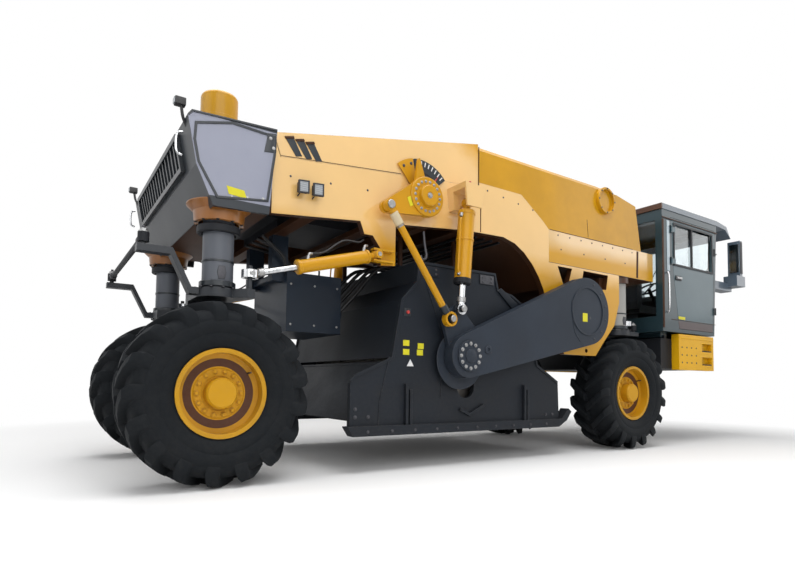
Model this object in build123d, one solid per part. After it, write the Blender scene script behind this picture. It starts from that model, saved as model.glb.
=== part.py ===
"""A cold recycler: a four-wheeled road machine with a milling drum under a long hull.

Millimetres. While the pieces are drawn, X runs forward from the rear axle towards the cab,
Y runs to the machine's left and Z up from the ground. When they are written they move back
along X, so that the origin lies under the middle of the whole machine.
"""
from build123d import *
import math
import os

# Wheels
TYRE_RADIUS = 800
TYRE_WIDTH = 600
LUG_HEIGHT = 52
LUG_COUNT = 17
LUG_WIDTH = 74
LUG_ANGLE = 40
RIM_FLANGE_RADIUS = 385
RIM_WALL = 14
WHEELBASE = 5870
HALF_TRACK = 1150

# Legs that carry the wheels, and their steering
COLUMN_RADIUS = 135
COLUMN_HALF_TRACK = 1120
COLUMN_TOP = 3000
SLEEVE_WALL = 38
FOOT_TOP = 1720
FOOT_THICKNESS = 80
GOOSENECK_THICKNESS = 90
TYRE_GAP = 45
HUB_RADIUS = 190
SPINDLE_RADIUS = 60
SHAFT_GAP = 0.05
PIN_GAP = 0.5
REAR_ARM_REACH = 620
REAR_ARM_RISE = 320
FRONT_ARM_REACH = 420
ARM_WIDTH = 110
ARM_THICKNESS = 60
TIE_ROD_RADIUS = 26
BALL_RADIUS = 46

# Hull
HULL_HALF_WIDTH = 1300
SIDE_THICKNESS = 80
HULL_REAR = 420
HULL_SLOPE = 0.0966
SILL_REAR_HEIGHT = 2455
SEAM_REAR_HEIGHT = 2995
LID_FRONT = 2945
LID_HINGE_LIFT = 15
LID_PIN = 7
LID_HINGE_YS = (-900, 0, 900)
HULL_TOP = 3750
DECK_UNDERSIDE = 2500
DECK_TOP = 2930
DECK_REAR = 4180
DECK_FRONT = 6540
COVER_THICKNESS = 30
PORT_X = 5350
PORT_Z = 3535
PORT_RADIUS = 190
PORT_REACH = 45
SEAM_GAP = 6
SEAT_GAP = 0.3

# Rear cover over the two rear legs
SHROUD_HALF_WIDTH = 1410
SHROUD_REAR = -360
SHROUD_TOP = 3165
SHROUD_RISE = 30
SHROUD_HEEL_X = -280
SHROUD_HEEL_Z = 2720
SHROUD_WALL = 30
GRILLE_WIDTH = 2100
GRILLE_HEIGHT = 330
GRILLE_DEPTH = 40
GRILLE_BORDER = 40
SLAT_COUNT = 15
CAP_X = 30
CAP_Y = 900
CAP_RADIUS = 170
CAP_HEIGHT = 440

# Milling drum and its arms
PIVOT_X = 4650
PIVOT_Z = 1870
DRUM_X = 2620
DRUM_Z = 1210
DRUM_RADIUS = 560
DRUM_HALF_LENGTH = 1170
PICK_HEIGHT = 90
PICK_TURNS = 14
PICK_ROWS = 5
ARM_INNER = 1400
ARM_OUTER = 1540
ARM_PIVOT_LOBE = 440
ARM_DRUM_LOBE = 240
DRUM_SHAFT_RADIUS = 110
PIVOT_TUBE_RADIUS = 120
BEARER_X = 760
BEARER_Z = 2500
LASHING_X = 4930
LASHING_Z = 1375
LASHING_RADIUS = 28

# Lift cylinders, depth links and the torsion shaft
LIFT_TOP_X = 2610
LIFT_TOP_Z = 2920
LIFT_EYE_X = 2520
LIFT_EYE_Z = 1720
LIFT_PLANE = 1500
LIFT_BARREL_RADIUS = 92
LIFT_BARREL_LENGTH = 900
LIFT_ROD_RADIUS = 40
PIN_RADIUS = 30
EYE_WALL = 26
EYE_WIDTH = 70
BARREL_NECK = 95
EAR_THICKNESS = 50
SHAFT_X = 2090
SHAFT_Z = 2900
SHAFT_RADIUS = 60
LEVER_TIP_X = 1580
LEVER_TIP_Z = 2700
LEVER_INNER = 1400
LEVER_THICKNESS = 45
LINK_EYE_X = 2370
LINK_EYE_Z = 1600
LINK_RADIUS = 36
LINK_DRIFT = 24
GAUGE_RADIUS = 450

# Drum hood
HOOD_OUTER = 1310
HOOD_WALL = 60
HOOD_TOP = 2230
SKID_BOTTOM = 370
SKID_HEIGHT = 90
HOOD_DROP = 120
GUIDE_XS = (2250, 3070)
GUIDE_Y = 700
GUIDE_RADIUS = 30
ARM_SWING = 10
FLAP_THICKNESS = 26
FLAP_PIN_RADIUS = 24

# Steering cylinders
STEER_PIN_X = 1530
STEER_PIN_Z = 2210
STEER_PIN_Y = 1330
STEER_LUG_X = 225
STEER_LUG_Y = 1335
STEER_EYE_Z = 1855
STEER_BARREL_RADIUS = 64
STEER_BARREL_LENGTH = 890
STEER_ROD_RADIUS = 30
STEER_PIN_RADIUS = 22
STEER_DRIFT = 27
FRONT_STEER_X = 6120
FRONT_STEER_PIN_Y = 230
FRONT_STEER_Z = 1840
FRONT_BARREL_LENGTH = 460
FRONT_ROD_START = 240

# Cab and its platform
CAB_REAR = 6600
CAB_FRONT = 8120
CAB_LEAN = 130
CAB_FLOOR = 1745
CAB_ROOF = 3640
CAB_RIGHT = -1420
CAB_WIDTH = 1800
CAB_WALL = 50
CAB_TRAVEL = 1100
VISOR_REACH = 470
WAIST = 2730
DOOR_REAR = 6900
DOOR_THICKNESS = 46
HINGE_X = 6834
HINGE_OUT = 20
HINGE_PIN = 8
HINGE_HEIGHTS = (2850, 3350)
HINGE_HALF = 40
GLASS_THICKNESS = 8
RAIL_HEIGHT = 50
RAIL_WIDTH = 60
PLATFORM_TOP = 1650
PLATFORM_BOTTOM = 1180
PLATFORM_REAR = 6730
PLATFORM_FRONT = 8080
NECK_HALF_WIDTH = 555
COUPLING_HOLE = 17
COUPLING_WIDE = 400
COUPLING_HIGH = 200
COUPLING_Z = 1415
STEP_BOX_REAR = 7030
STEP_BOX_BOTTOM = 1165
MIRROR_TIP_X = 8900

# The origin lies under the middle of the machine's length
MIDDLE_X = (MIRROR_TIP_X - TYRE_RADIUS) / 2

RIGHT = -1
LEFT = 1
SIDES = (("right", RIGHT), ("left", LEFT))


def save(part, name):
    """Write one node, moved to the machine's own origin."""
    export_step(Pos(-MIDDLE_X, 0, 0) * part, f"parts/{name}.step")


def slab(points, y_low, y_high):
    """A plate whose (x, z) outline stands between two planes across the machine."""
    face = Plane.XZ * Polygon(*points, align=None)
    return Pos(0, y_low, 0) * extrude(face, amount=y_high - y_low, dir=(0, 1, 0))


def both(part):
    """The right-hand piece and its mirror image on the left."""
    return Part() + [part, mirror(part, about=Plane.XZ)]


def block(x_low, x_high, y_low, y_high, z_low, z_high):
    """A box between named planes."""
    size = (x_high - x_low, y_high - y_low, z_high - z_low)
    centre = ((x_high + x_low) / 2, (y_high + y_low) / 2, (z_high + z_low) / 2)
    return Pos(*centre) * Box(*size)


def bar(start, end, radius):
    """A round bar from one point to another."""
    line = Vector(*end) - Vector(*start)
    return extrude(Plane(origin=start, z_dir=line) * Circle(radius), amount=line.length)


def across(x, z, radius, y_low, y_high):
    """A round bar that lies across the machine."""
    return bar((x, y_low, z), (x, y_high, z), radius)


def upright(x, y, radius, z_low, z_high):
    """A round bar that stands upright."""
    return bar((x, y, z_low), (x, y, z_high), radius)


def hull_line(x, height_at_rear):
    """Height of a line of the hull, which climbs towards the middle of the machine."""
    return height_at_rear + (x - HULL_REAR) * HULL_SLOPE


def turned(x, z, centre_x, centre_z, degrees):
    """A point carried round a pivot across the machine, nose down by the given angle."""
    turn = math.radians(degrees)
    dx = x - centre_x
    dz = z - centre_z
    new_x = centre_x + dx * math.cos(turn) - dz * math.sin(turn)
    new_z = centre_z + dx * math.sin(turn) + dz * math.cos(turn)
    return new_x, new_z


def towards(start, end, distance):
    """The point at a distance from the start, on the way to the end."""
    line = Vector(*end) - Vector(*start)
    return Vector(*start) + line * (distance / line.length)


# Wheels: the tyre with its crossed lugs, and the deep yellow rim

TYRE_EDGE = TYRE_WIDTH / 2
CARCASS_RADIUS = TYRE_RADIUS - LUG_HEIGHT
BEAD_RADIUS = RIM_FLANGE_RADIUS - 25
BEAD_HALF_WIDTH = TYRE_WIDTH * 0.38
HUB_FACE = BEAD_HALF_WIDTH - 110


def tyre(x, side):
    """One tyre with its lugs, made at the origin and moved to its axle."""
    shoulder = TYRE_EDGE * 0.80
    side_radius = (CARCASS_RADIUS + BEAD_RADIUS) / 2
    outline = [
        (-BEAD_HALF_WIDTH, BEAD_RADIUS),
        (-BEAD_HALF_WIDTH, RIM_FLANGE_RADIUS),
        (-TYRE_EDGE, side_radius),
        (-shoulder, CARCASS_RADIUS - 30),
        (0, CARCASS_RADIUS),
        (shoulder, CARCASS_RADIUS - 30),
        (TYRE_EDGE, side_radius),
        (BEAD_HALF_WIDTH, RIM_FLANGE_RADIUS),
        (BEAD_HALF_WIDTH, BEAD_RADIUS),
    ]
    carcass = revolve(Plane.YZ * Polygon(*outline, align=None), axis=Axis.Y)
    envelope = [
        (-TYRE_EDGE, BEAD_RADIUS + 60),
        (-TYRE_EDGE, CARCASS_RADIUS - 75),
        (-shoulder, TYRE_RADIUS - 24),
        (-shoulder / 2, TYRE_RADIUS),
        (shoulder / 2, TYRE_RADIUS),
        (shoulder, TYRE_RADIUS - 24),
        (TYRE_EDGE, CARCASS_RADIUS - 75),
        (TYRE_EDGE, BEAD_RADIUS + 60),
    ]
    crown = revolve(Plane.YZ * Polygon(*envelope, align=None), axis=Axis.Y)
    pitch = 360 / LUG_COUNT
    lug_length = TYRE_EDGE / math.cos(math.radians(LUG_ANGLE)) + 30
    bars = []
    for edge in (RIGHT, LEFT):
        lug = Pos(0, edge * (TYRE_EDGE * 0.53), 0) * Rot(0, 0, edge * LUG_ANGLE)
        lug = lug * Box(LUG_WIDTH, lug_length, 2 * LUG_HEIGHT + 120)
        for index in range(LUG_COUNT):
            turn = pitch * (index + (0 if edge == LEFT else 0.5))
            bars.append(Rot(0, turn, 0) * Pos(0, 0, CARCASS_RADIUS - 60) * lug)
    lugs = Part() + bars
    whole = carcass + (lugs & crown)
    return Pos(x, side * HALF_TRACK, TYRE_RADIUS) * whole


def rim(x, side):
    """One rim: flanges, well, deep disc and the hub that turns on the spindle."""
    lip = BEAD_HALF_WIDTH
    outline = [
        (lip + 14, RIM_FLANGE_RADIUS),
        (lip, RIM_FLANGE_RADIUS),
        (lip, BEAD_RADIUS),
        (-lip, BEAD_RADIUS),
        (-lip, RIM_FLANGE_RADIUS),
        (-lip - 14, RIM_FLANGE_RADIUS),
        (-lip - 14, BEAD_RADIUS - RIM_WALL),
        (HUB_FACE - 60, BEAD_RADIUS - RIM_WALL),
        (HUB_FACE - 60, SPINDLE_RADIUS + SHAFT_GAP),
        (HUB_FACE, SPINDLE_RADIUS + SHAFT_GAP),
        (HUB_FACE, HUB_RADIUS * 0.55),
        (HUB_FACE + 95, HUB_RADIUS * 0.55),
        (HUB_FACE + 95, 0),
        (HUB_FACE + 120, 0),
        (HUB_FACE + 120, HUB_RADIUS * 0.62),
        (HUB_FACE + 100, HUB_RADIUS * 0.7),
        (HUB_FACE, HUB_RADIUS * 0.7),
        (HUB_FACE, HUB_RADIUS * 1.25),
        (HUB_FACE + 14, BEAD_RADIUS - RIM_WALL),
        (lip + 14, BEAD_RADIUS - RIM_WALL),
    ]
    ring = revolve(Plane.YZ * Polygon(*outline, align=None), axis=Axis.Y)
    if side == RIGHT:
        ring = mirror(ring, about=Plane.XZ)
    return Pos(x, side * HALF_TRACK, TYRE_RADIUS) * ring


# Legs: column, foot, gooseneck, hub and steering arm in one welded piece

TYRE_INNER = HALF_TRACK - TYRE_EDGE
NECK_OUTER = TYRE_INNER - TYRE_GAP
NECK_INNER = NECK_OUTER - GOOSENECK_THICKNESS
ARM_TOP = FOOT_TOP
SPINDLE_END = HALF_TRACK + HUB_FACE + 60


def ball_joint(x, y, z_low, z_high):
    """The upright pin that a rod's end turns on."""
    return upright(x, y, STEER_PIN_RADIUS, z_low, z_high)


def leg(x, side, arm_reach, arm_rise):
    """One leg; the steering arm points back on the rear axle and forward on the front one."""
    column = upright(x, -COLUMN_HALF_TRACK, COLUMN_RADIUS, FOOT_TOP - FOOT_THICKNESS, COLUMN_TOP)
    foot = upright(x, -COLUMN_HALF_TRACK, COLUMN_RADIUS + 45, FOOT_TOP - FOOT_THICKNESS, FOOT_TOP)
    foot += block(x - 180, x + 180, -COLUMN_HALF_TRACK, -NECK_INNER,
                  FOOT_TOP - FOOT_THICKNESS, FOOT_TOP)
    neck_outline = [
        (x - 180, FOOT_TOP),
        (x + 180, FOOT_TOP),
        (x + HUB_RADIUS, TYRE_RADIUS),
        (x + HUB_RADIUS * 0.7, TYRE_RADIUS - HUB_RADIUS * 0.8),
        (x - HUB_RADIUS * 0.7, TYRE_RADIUS - HUB_RADIUS * 0.8),
        (x - HUB_RADIUS, TYRE_RADIUS),
    ]
    neck = slab(neck_outline, -NECK_OUTER, -NECK_INNER)
    hub = across(x, TYRE_RADIUS, HUB_RADIUS, -(HALF_TRACK + HUB_FACE - 85), -NECK_INNER)
    motor = across(x, TYRE_RADIUS, HUB_RADIUS * 0.75, -NECK_INNER, -NECK_INNER + 190)
    spindle = across(x, TYRE_RADIUS, SPINDLE_RADIUS, -SPINDLE_END, -NECK_INNER)
    whole = column + foot + neck + hub + motor + spindle
    tip = x + arm_reach
    way = 1 if arm_reach > 0 else -1
    half = ARM_WIDTH / 2
    low = ARM_TOP - ARM_THICKNESS
    root = x + way * 120
    bend = x + arm_reach * 0.40
    level = x + arm_reach * 0.66
    outline = [
        (root, low),
        (bend, low),
        (level, low + arm_rise),
        (tip + way * half, low + arm_rise),
        (tip + way * half, ARM_TOP + arm_rise),
        (level - way * 15, ARM_TOP + arm_rise),
        (bend - way * 15, ARM_TOP),
        (root, ARM_TOP),
    ]
    whole += slab(outline, -COLUMN_HALF_TRACK - half, -COLUMN_HALF_TRACK + half)
    whole += ball_joint(tip, -COLUMN_HALF_TRACK, low + arm_rise, ARM_TOP + arm_rise + 130)
    return whole


def rear_leg(side):
    """A rear leg, with the lug that the long steering cylinder works on."""
    whole = leg(0, RIGHT, -REAR_ARM_REACH, REAR_ARM_RISE)
    low = FOOT_TOP - FOOT_THICKNESS
    lug = Plane.XY * Polygon(
        (60, -COLUMN_HALF_TRACK + 60), (60, -COLUMN_HALF_TRACK - 120),
        (STEER_LUG_X - 30, -STEER_LUG_Y - 45), (STEER_LUG_X + 45, -STEER_LUG_Y - 20),
        (STEER_LUG_X + 45, -STEER_LUG_Y + 40), (STEER_LUG_X - 20, -COLUMN_HALF_TRACK + 20),
        align=None)
    whole += Pos(0, 0, low) * extrude(lug, amount=FOOT_THICKNESS, dir=(0, 0, 1))
    whole += ball_joint(STEER_LUG_X, -STEER_LUG_Y, low, STEER_EYE_Z + 75)
    return whole if side == RIGHT else mirror(whole, about=Plane.XZ)


def front_leg(side):
    """A front leg; the right one also carries the eye of the front steering cylinder."""
    whole = leg(WHEELBASE, RIGHT, FRONT_ARM_REACH, 0)
    if side == LEFT:
        return mirror(whole, about=Plane.XZ)
    low = FOOT_TOP - FOOT_THICKNESS
    return whole + ball_joint(FRONT_STEER_X, -COLUMN_HALF_TRACK, low, FRONT_STEER_Z + 60)


def tie_rod(x, z_pin_low):
    """The rod that ties the two arms of an axle, with an eye round each pin."""
    z = z_pin_low + 65
    whole = bar((x, -COLUMN_HALF_TRACK, z), (x, COLUMN_HALF_TRACK, z), TIE_ROD_RADIUS)
    for _, side in SIDES:
        whole += upright(x, side * COLUMN_HALF_TRACK, BALL_RADIUS, z - 40, z + 40)
    for _, side in SIDES:
        bore = STEER_PIN_RADIUS + PIN_GAP
        whole -= upright(x, side * COLUMN_HALF_TRACK, bore, z - 60, z + 60)
    return whole


# Hydraulic cylinders: a bored barrel with an eye at its pin, and a rod with an eye

def barrel(pin, eye, axis, radius, rod_radius, length, pin_radius, eye_width):
    """The barrel of a cylinder, from its pin towards the far eye."""
    neck_start = towards(pin, eye, pin_radius + EYE_WALL * 0.4)
    whole = bar(neck_start, towards(pin, eye, BARREL_NECK + 20), rod_radius)
    whole += bar(towards(pin, eye, BARREL_NECK), towards(pin, eye, length), radius)
    half = Vector(*axis) * (eye_width / 2)
    ends = (Vector(*pin) - half, Vector(*pin) + half)
    whole += bar(*ends, pin_radius + EYE_WALL)
    whole -= bar(*ends, pin_radius + PIN_GAP)
    bore_start = towards(pin, eye, BARREL_NECK + 30)
    whole -= bar(bore_start, towards(pin, eye, length + 10), rod_radius + PIN_GAP)
    return whole


def piston_rod(pin, eye, axis, rod_radius, start, eye_inner, eye_width):
    """The rod of a cylinder, from inside its barrel to its eye."""
    reach = (Vector(*eye) - Vector(*pin)).length
    whole = bar(towards(pin, eye, start),
                towards(pin, eye, reach - eye_inner - 4), rod_radius)
    half = Vector(*axis) * (eye_width / 2)
    ends = (Vector(*eye) - half, Vector(*eye) + half)
    whole += bar(*ends, eye_inner + EYE_WALL)
    whole -= bar(*ends, eye_inner)
    return whole


REAR_STEER_PIN = (STEER_PIN_X, -STEER_PIN_Y, STEER_PIN_Z)
REAR_STEER_EYE = (STEER_LUG_X, -STEER_LUG_Y, STEER_EYE_Z)
FRONT_STEER_PIN = (FRONT_STEER_X, -FRONT_STEER_PIN_Y, FRONT_STEER_Z)
FRONT_STEER_EYE = (FRONT_STEER_X, -COLUMN_HALF_TRACK, FRONT_STEER_Z)
LIFT_PIN = (LIFT_TOP_X, -LIFT_PLANE, LIFT_TOP_Z)
LIFT_EYE = (LIFT_EYE_X, -LIFT_PLANE, LIFT_EYE_Z)
UP = (0, 0, 1)
ACROSS = (0, 1, 0)


# Hull: side frames, beams with the leg sleeves, deck, covers

SLEEVE_RADIUS = COLUMN_RADIUS + SHAFT_GAP + SLEEVE_WALL
SLEEVE_BOTTOM = 2410
LID_TOP_REAR = HULL_TOP - (LID_FRONT - HULL_REAR) * 0.2095


def frame_side():
    """The right side frame: sill, arch over the drum hood, and the plate with the arm pivot."""
    seam_end = hull_line(LID_FRONT, SEAM_REAR_HEIGHT)
    outline = [
        (HULL_REAR, SILL_REAR_HEIGHT),
        (2750, hull_line(2750, SILL_REAR_HEIGHT)),
        (3000, 2690),
        (3360, 2700),
        (3560, 2650),
        (3720, 2560),
        (3870, 2430),
        (3990, 2280),
        (4080, 2120),
        (4140, 1940),
        (4260, 1540),
        (4480, 1310),
        (5130, 1310),
        (5300, 1500),
        (5560, 1760),
        (5680, 2100),
        (5680, DECK_UNDERSIDE),
        (DECK_REAR, DECK_UNDERSIDE),
        (DECK_REAR, DECK_TOP),
        (4070, 3020),
        (3670, 3290),
        (LID_FRONT + SEAM_GAP, 3290),
        (LID_FRONT + SEAM_GAP, seam_end),
        (HULL_REAR + 75, hull_line(HULL_REAR + 75, SEAM_REAR_HEIGHT)),
        (HULL_REAR, LID_TOP_REAR),
    ]
    low = -HULL_HALF_WIDTH
    high = low + SIDE_THICKNESS
    whole = slab(outline, low, high)
    for window in (
        [(4350, 2470), (4640, 2470), (4560, 2230), (4470, 2215)],
        [(4880, 2470), (5420, 2470), (5380, 2260), (4820, 2215)],
    ):
        whole -= slab(window, low - 1, high + 1)
    whole -= across(PIVOT_X, PIVOT_Z, PIVOT_TUBE_RADIUS + SHAFT_GAP, low - 1, high + 1)
    whole -= across(SHAFT_X, SHAFT_Z, SHAFT_RADIUS + SHAFT_GAP, low - 1, high + 1)
    whole -= across(LASHING_X, LASHING_Z, LASHING_RADIUS, low - 1, high + 1)
    return whole


def shaft_boss():
    """The bearing housing of the torsion shaft, on the outer face of the side frame."""
    outer = -LEVER_INNER + SEAT_GAP
    whole = across(SHAFT_X, SHAFT_Z, SHAFT_RADIUS + 60, outer, -HULL_HALF_WIDTH)
    return whole - across(SHAFT_X, SHAFT_Z, SHAFT_RADIUS + SHAFT_GAP, outer - 1, -HULL_HALF_WIDTH + 1)


def lift_bracket():
    """The box bracket on the hull's side that the lift cylinder hangs from."""
    outer = -LIFT_PLANE - LIFT_BARREL_RADIUS - 6
    inner = -LIFT_PLANE + LIFT_BARREL_RADIUS + 6
    outline = [
        (LIFT_TOP_X - 130, LIFT_TOP_Z + 190),
        (LIFT_TOP_X + 150, LIFT_TOP_Z + 170),
        (LIFT_TOP_X + 110, LIFT_TOP_Z - 70),
        (LIFT_TOP_X - 100, LIFT_TOP_Z - 70),
    ]
    whole = slab(outline, inner, -HULL_HALF_WIDTH)
    whole += slab(outline, outer - 25, outer)
    roof = LIFT_TOP_Z + PIN_RADIUS + EYE_WALL + 70
    whole += slab(outline, outer - 1, inner + 1) & block(
        LIFT_TOP_X - 300, LIFT_TOP_X + 300, outer - 1, inner + 1, roof, LIFT_TOP_Z + 300)
    whole += across(LIFT_TOP_X, LIFT_TOP_Z, PIN_RADIUS, outer - 25, inner)
    return whole


def steer_bracket():
    """The bracket under the side frame that holds the rear steering cylinder's pin."""
    top = hull_line(STEER_PIN_X, SILL_REAR_HEIGHT)
    outline = [
        (1360, hull_line(1360, SILL_REAR_HEIGHT)),
        (1790, hull_line(1790, SILL_REAR_HEIGHT)),
        (1790, 2140),
        (STEER_PIN_X + 80, 2120),
        (STEER_PIN_X + 80, 2290),
        (STEER_PIN_X - 20, 2420),
        (1410, 2420),
    ]
    outer = -HULL_HALF_WIDTH
    whole = slab(outline, outer, outer + 70)
    for level in (-1, 1):
        fork = STEER_PIN_Z + level * (EYE_WIDTH / 2 + 22)
        whole += block(STEER_PIN_X - 45, STEER_PIN_X + 200, -STEER_PIN_Y - 45, outer + 70,
                       fork - 10, fork + 10)
    whole += upright(STEER_PIN_X, -STEER_PIN_Y, STEER_PIN_RADIUS,
                     STEER_PIN_Z - EYE_WIDTH / 2 - 20, STEER_PIN_Z + EYE_WIDTH / 2 + 20)
    return whole


def sleeve_pair(x, beam):
    """A cross beam with the sleeves that guide the two legs of an axle."""
    whole = beam
    for _, side in SIDES:
        whole += upright(x, side * COLUMN_HALF_TRACK, SLEEVE_RADIUS, SLEEVE_BOTTOM, COLUMN_TOP + 40)
    for _, side in SIDES:
        bore = COLUMN_RADIUS + SHAFT_GAP
        whole -= upright(x, side * COLUMN_HALF_TRACK, bore, SLEEVE_BOTTOM - 1, COLUMN_TOP + 10)
    return whole


def rear_beam():
    """The beam across the rear, inside the rear cover."""
    reach = COLUMN_HALF_TRACK + SLEEVE_RADIUS
    return sleeve_pair(0, block(-105, HULL_REAR, -reach, reach, 2460, 2900))


def front_deck():
    """The deck beam over the front axle, with the hanger of the front steering cylinder."""
    beam = block(DECK_REAR, DECK_FRONT, -HULL_HALF_WIDTH, HULL_HALF_WIDTH, DECK_UNDERSIDE, DECK_TOP)
    pin_y = -FRONT_STEER_PIN_Y
    hanger_bottom = FRONT_STEER_Z + EYE_WIDTH / 2 + 5
    beam += block(FRONT_STEER_X - 60, FRONT_STEER_X + 60, pin_y - 60, pin_y + 60,
                  hanger_bottom, DECK_UNDERSIDE + 10)
    beam += upright(FRONT_STEER_X, pin_y, STEER_PIN_RADIUS, FRONT_STEER_Z - 50, hanger_bottom + 10)
    return sleeve_pair(WHEELBASE, beam)


def frame_beams():
    """Cross beams between the side frames, with the guide posts that the drum hood slides on."""
    inner = HULL_HALF_WIDTH - SIDE_THICKNESS
    beams = []
    for x_low, x_high, z_low, z_high in (
        (BEARER_X, BEARER_X + 140, BEARER_Z, BEARER_Z + 60),
        (1620, 1760, 2590, 2650),
        (GUIDE_XS[0] - 60, GUIDE_XS[0] + 60, 2650, 2790),
        (GUIDE_XS[1] - 90, GUIDE_XS[1] + 90, 2760, 3180),
        (5330, 5500, 2080, 2440),
    ):
        beams.append(block(x_low, x_high, -inner, inner, z_low, z_high))
    for index, x in enumerate(GUIDE_XS):
        for y in (-GUIDE_Y, GUIDE_Y):
            foot = HOOD_TOP - HOOD_DROP - 130
            beams[2 + index] += upright(x, y, GUIDE_RADIUS, foot, 2765)
    return Part() + beams


def lid_hinge():
    """Where the lid turns, just above the seam between the two covers."""
    return LID_FRONT + SEAM_GAP / 2, HULL_TOP + LID_HINGE_LIFT


def front_hood():
    """The fixed cover over the front half, sloping down towards the cab."""
    gap = SEAT_GAP
    rear = LID_FRONT + SEAM_GAP
    outline = [
        (rear, 3290 + gap),
        (rear, HULL_TOP),
        (5250, HULL_TOP),
        (6100, 3600),
        (6230, DECK_TOP + gap),
        (DECK_REAR, DECK_TOP + gap),
        (4070, 3020 + gap * 2),
        (3670, 3290 + gap),
    ]
    whole = slab(outline, -HULL_HALF_WIDTH, HULL_HALF_WIDTH)
    for _, side in SIDES:
        whole -= upright(WHEELBASE, side * COLUMN_HALF_TRACK, SLEEVE_RADIUS + 5, DECK_TOP - 1, COLUMN_TOP + 60)
    ridge = whole.edges().filter_by(Axis.X).group_by(Axis.Z)[-1]
    whole = chamfer(ridge, 70)
    x, z = lid_hinge()
    for y in LID_HINGE_YS:
        for way in (-1, 1):
            middle = y + way * 50
            whole += block(x - 8, x + 60, middle - 14, middle + 14, z - 4, z + 14)
            whole += block(x + SEAM_GAP, x + 60, middle - 14, middle + 14, HULL_TOP - 5, z + 14)
        whole += across(x, z, LID_PIN, y - 50, y + 50)
    return whole


def rear_hood():
    """The lid over the engine: a hollow cover that tips up about its front edge."""
    seam_rear = HULL_REAR + 75
    low = SEAT_GAP
    outline = [
        (HULL_REAR + SEAM_GAP, LID_TOP_REAR),
        (LID_FRONT, HULL_TOP),
        (LID_FRONT, hull_line(LID_FRONT, SEAM_REAR_HEIGHT) + low),
        (seam_rear + SEAM_GAP, hull_line(seam_rear, SEAM_REAR_HEIGHT) + low + 1),
    ]
    whole = slab(outline, -HULL_HALF_WIDTH, HULL_HALF_WIDTH)
    wall = COVER_THICKNESS
    inside = [
        (HULL_REAR + 115, LID_TOP_REAR - wall),
        (LID_FRONT + 1, HULL_TOP - wall),
        (LID_FRONT + 1, 2900),
        (HULL_REAR + 115, 2900),
    ]
    whole -= slab(inside, -HULL_HALF_WIDTH + wall, HULL_HALF_WIDTH - wall)
    x, z = lid_hinge()
    for y in LID_HINGE_YS:
        leaf = slab([(x - 90, HULL_TOP - 30), (x - 90, HULL_TOP - 2), (x, z + 6), (x, HULL_TOP + 2),
                     (LID_FRONT - 10, HULL_TOP - 10)], y - 30, y + 30)
        whole += leaf + across(x, z, LID_PIN + 7, y - 30, y + 30)
        whole -= across(x, z, LID_PIN + SHAFT_GAP, y - 31, y + 31)
    return whole


def rear_shroud():
    """The cover round the rear legs: open below, cut away low at the back."""
    outline = [
        (SHROUD_REAR, SHROUD_TOP - 40),
        (SHROUD_REAR + 30, SHROUD_TOP),
        (HULL_REAR - SEAT_GAP, SHROUD_TOP + SHROUD_RISE),
        (HULL_REAR - SEAT_GAP - 60, 2400),
        (-130, 2390),
        (SHROUD_HEEL_X, SHROUD_HEEL_Z),
    ]
    wall = SHROUD_WALL
    inside = [
        (SHROUD_REAR + wall, SHROUD_TOP - 40 - wall),
        (HULL_REAR, SHROUD_TOP - wall),
        (HULL_REAR, 2300),
        (-130 + wall * 1.2, 2300),
        (SHROUD_HEEL_X + wall * 1.2, SHROUD_HEEL_Z),
    ]
    whole = slab(outline, -SHROUD_HALF_WIDTH, SHROUD_HALF_WIDTH)
    whole -= slab(inside, -SHROUD_HALF_WIDTH + wall, SHROUD_HALF_WIDTH - wall)
    for _, side in SIDES:
        whole -= upright(0, side * COLUMN_HALF_TRACK, SLEEVE_RADIUS + 5, 2300, COLUMN_TOP + 60)
    return whole


def radiator_grille():
    """The framed grille on the shroud's sloping rear face, with its upright slats."""
    top = Vector(SHROUD_REAR, 0, SHROUD_TOP - 40)
    along = Vector(SHROUD_HEEL_X, 0, SHROUD_HEEL_Z) - top
    face = Plane(origin=top + along / 2, x_dir=(0, 1, 0), z_dir=(along.Z, 0, -along.X))
    lift = GRILLE_DEPTH / 2 + SEAT_GAP
    border = GRILLE_BORDER
    frame = Box(GRILLE_WIDTH, GRILLE_HEIGHT, GRILLE_DEPTH)
    frame -= Box(GRILLE_WIDTH - 2 * border, GRILLE_HEIGHT - 2 * border, 2 * GRILLE_DEPTH)
    pitch = (GRILLE_WIDTH - 2 * border) / (SLAT_COUNT + 1)
    slats = []
    for index in range(SLAT_COUNT):
        place = pitch * (index + 1) - GRILLE_WIDTH / 2 + border
        slats.append(Pos(place, 0, 0) * Box(24, GRILLE_HEIGHT - border, GRILLE_DEPTH / 2))
    return face * Pos(0, 0, lift) * (frame + slats)


def intake_cap():
    """The air intake cap that stands on the shroud."""
    base = SHROUD_TOP
    cap = upright(CAP_X, -CAP_Y, CAP_RADIUS * 0.55, base - 20, base + CAP_HEIGHT * 0.4)
    cap -= slab([
        (SHROUD_REAR + 30, base - 60), (SHROUD_REAR + 30, base + SEAT_GAP),
        (HULL_REAR - SEAT_GAP, base + SHROUD_RISE + SEAT_GAP), (HULL_REAR - SEAT_GAP, base - 60),
    ], -SHROUD_HALF_WIDTH, SHROUD_HALF_WIDTH)
    hat = upright(CAP_X, -CAP_Y, CAP_RADIUS, base + CAP_HEIGHT * 0.35, base + CAP_HEIGHT)
    rim_edge = hat.edges().group_by(Axis.Z)[-1]
    return cap + fillet(rim_edge, 40)


def work_lamps():
    """Two square lamps on each side of the hull, on short stalks."""
    lamps = []
    for x in (700, 850):
        y = -HULL_HALF_WIDTH - SEAT_GAP
        lamp = block(x - 45, x + 45, y - 90, y - 30, 2690, 2780)
        lamp += block(x - 12, x + 12, y - 40, y, 2720, 2750)
        lamps.append(lamp)
    return both(Part() + lamps)


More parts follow.
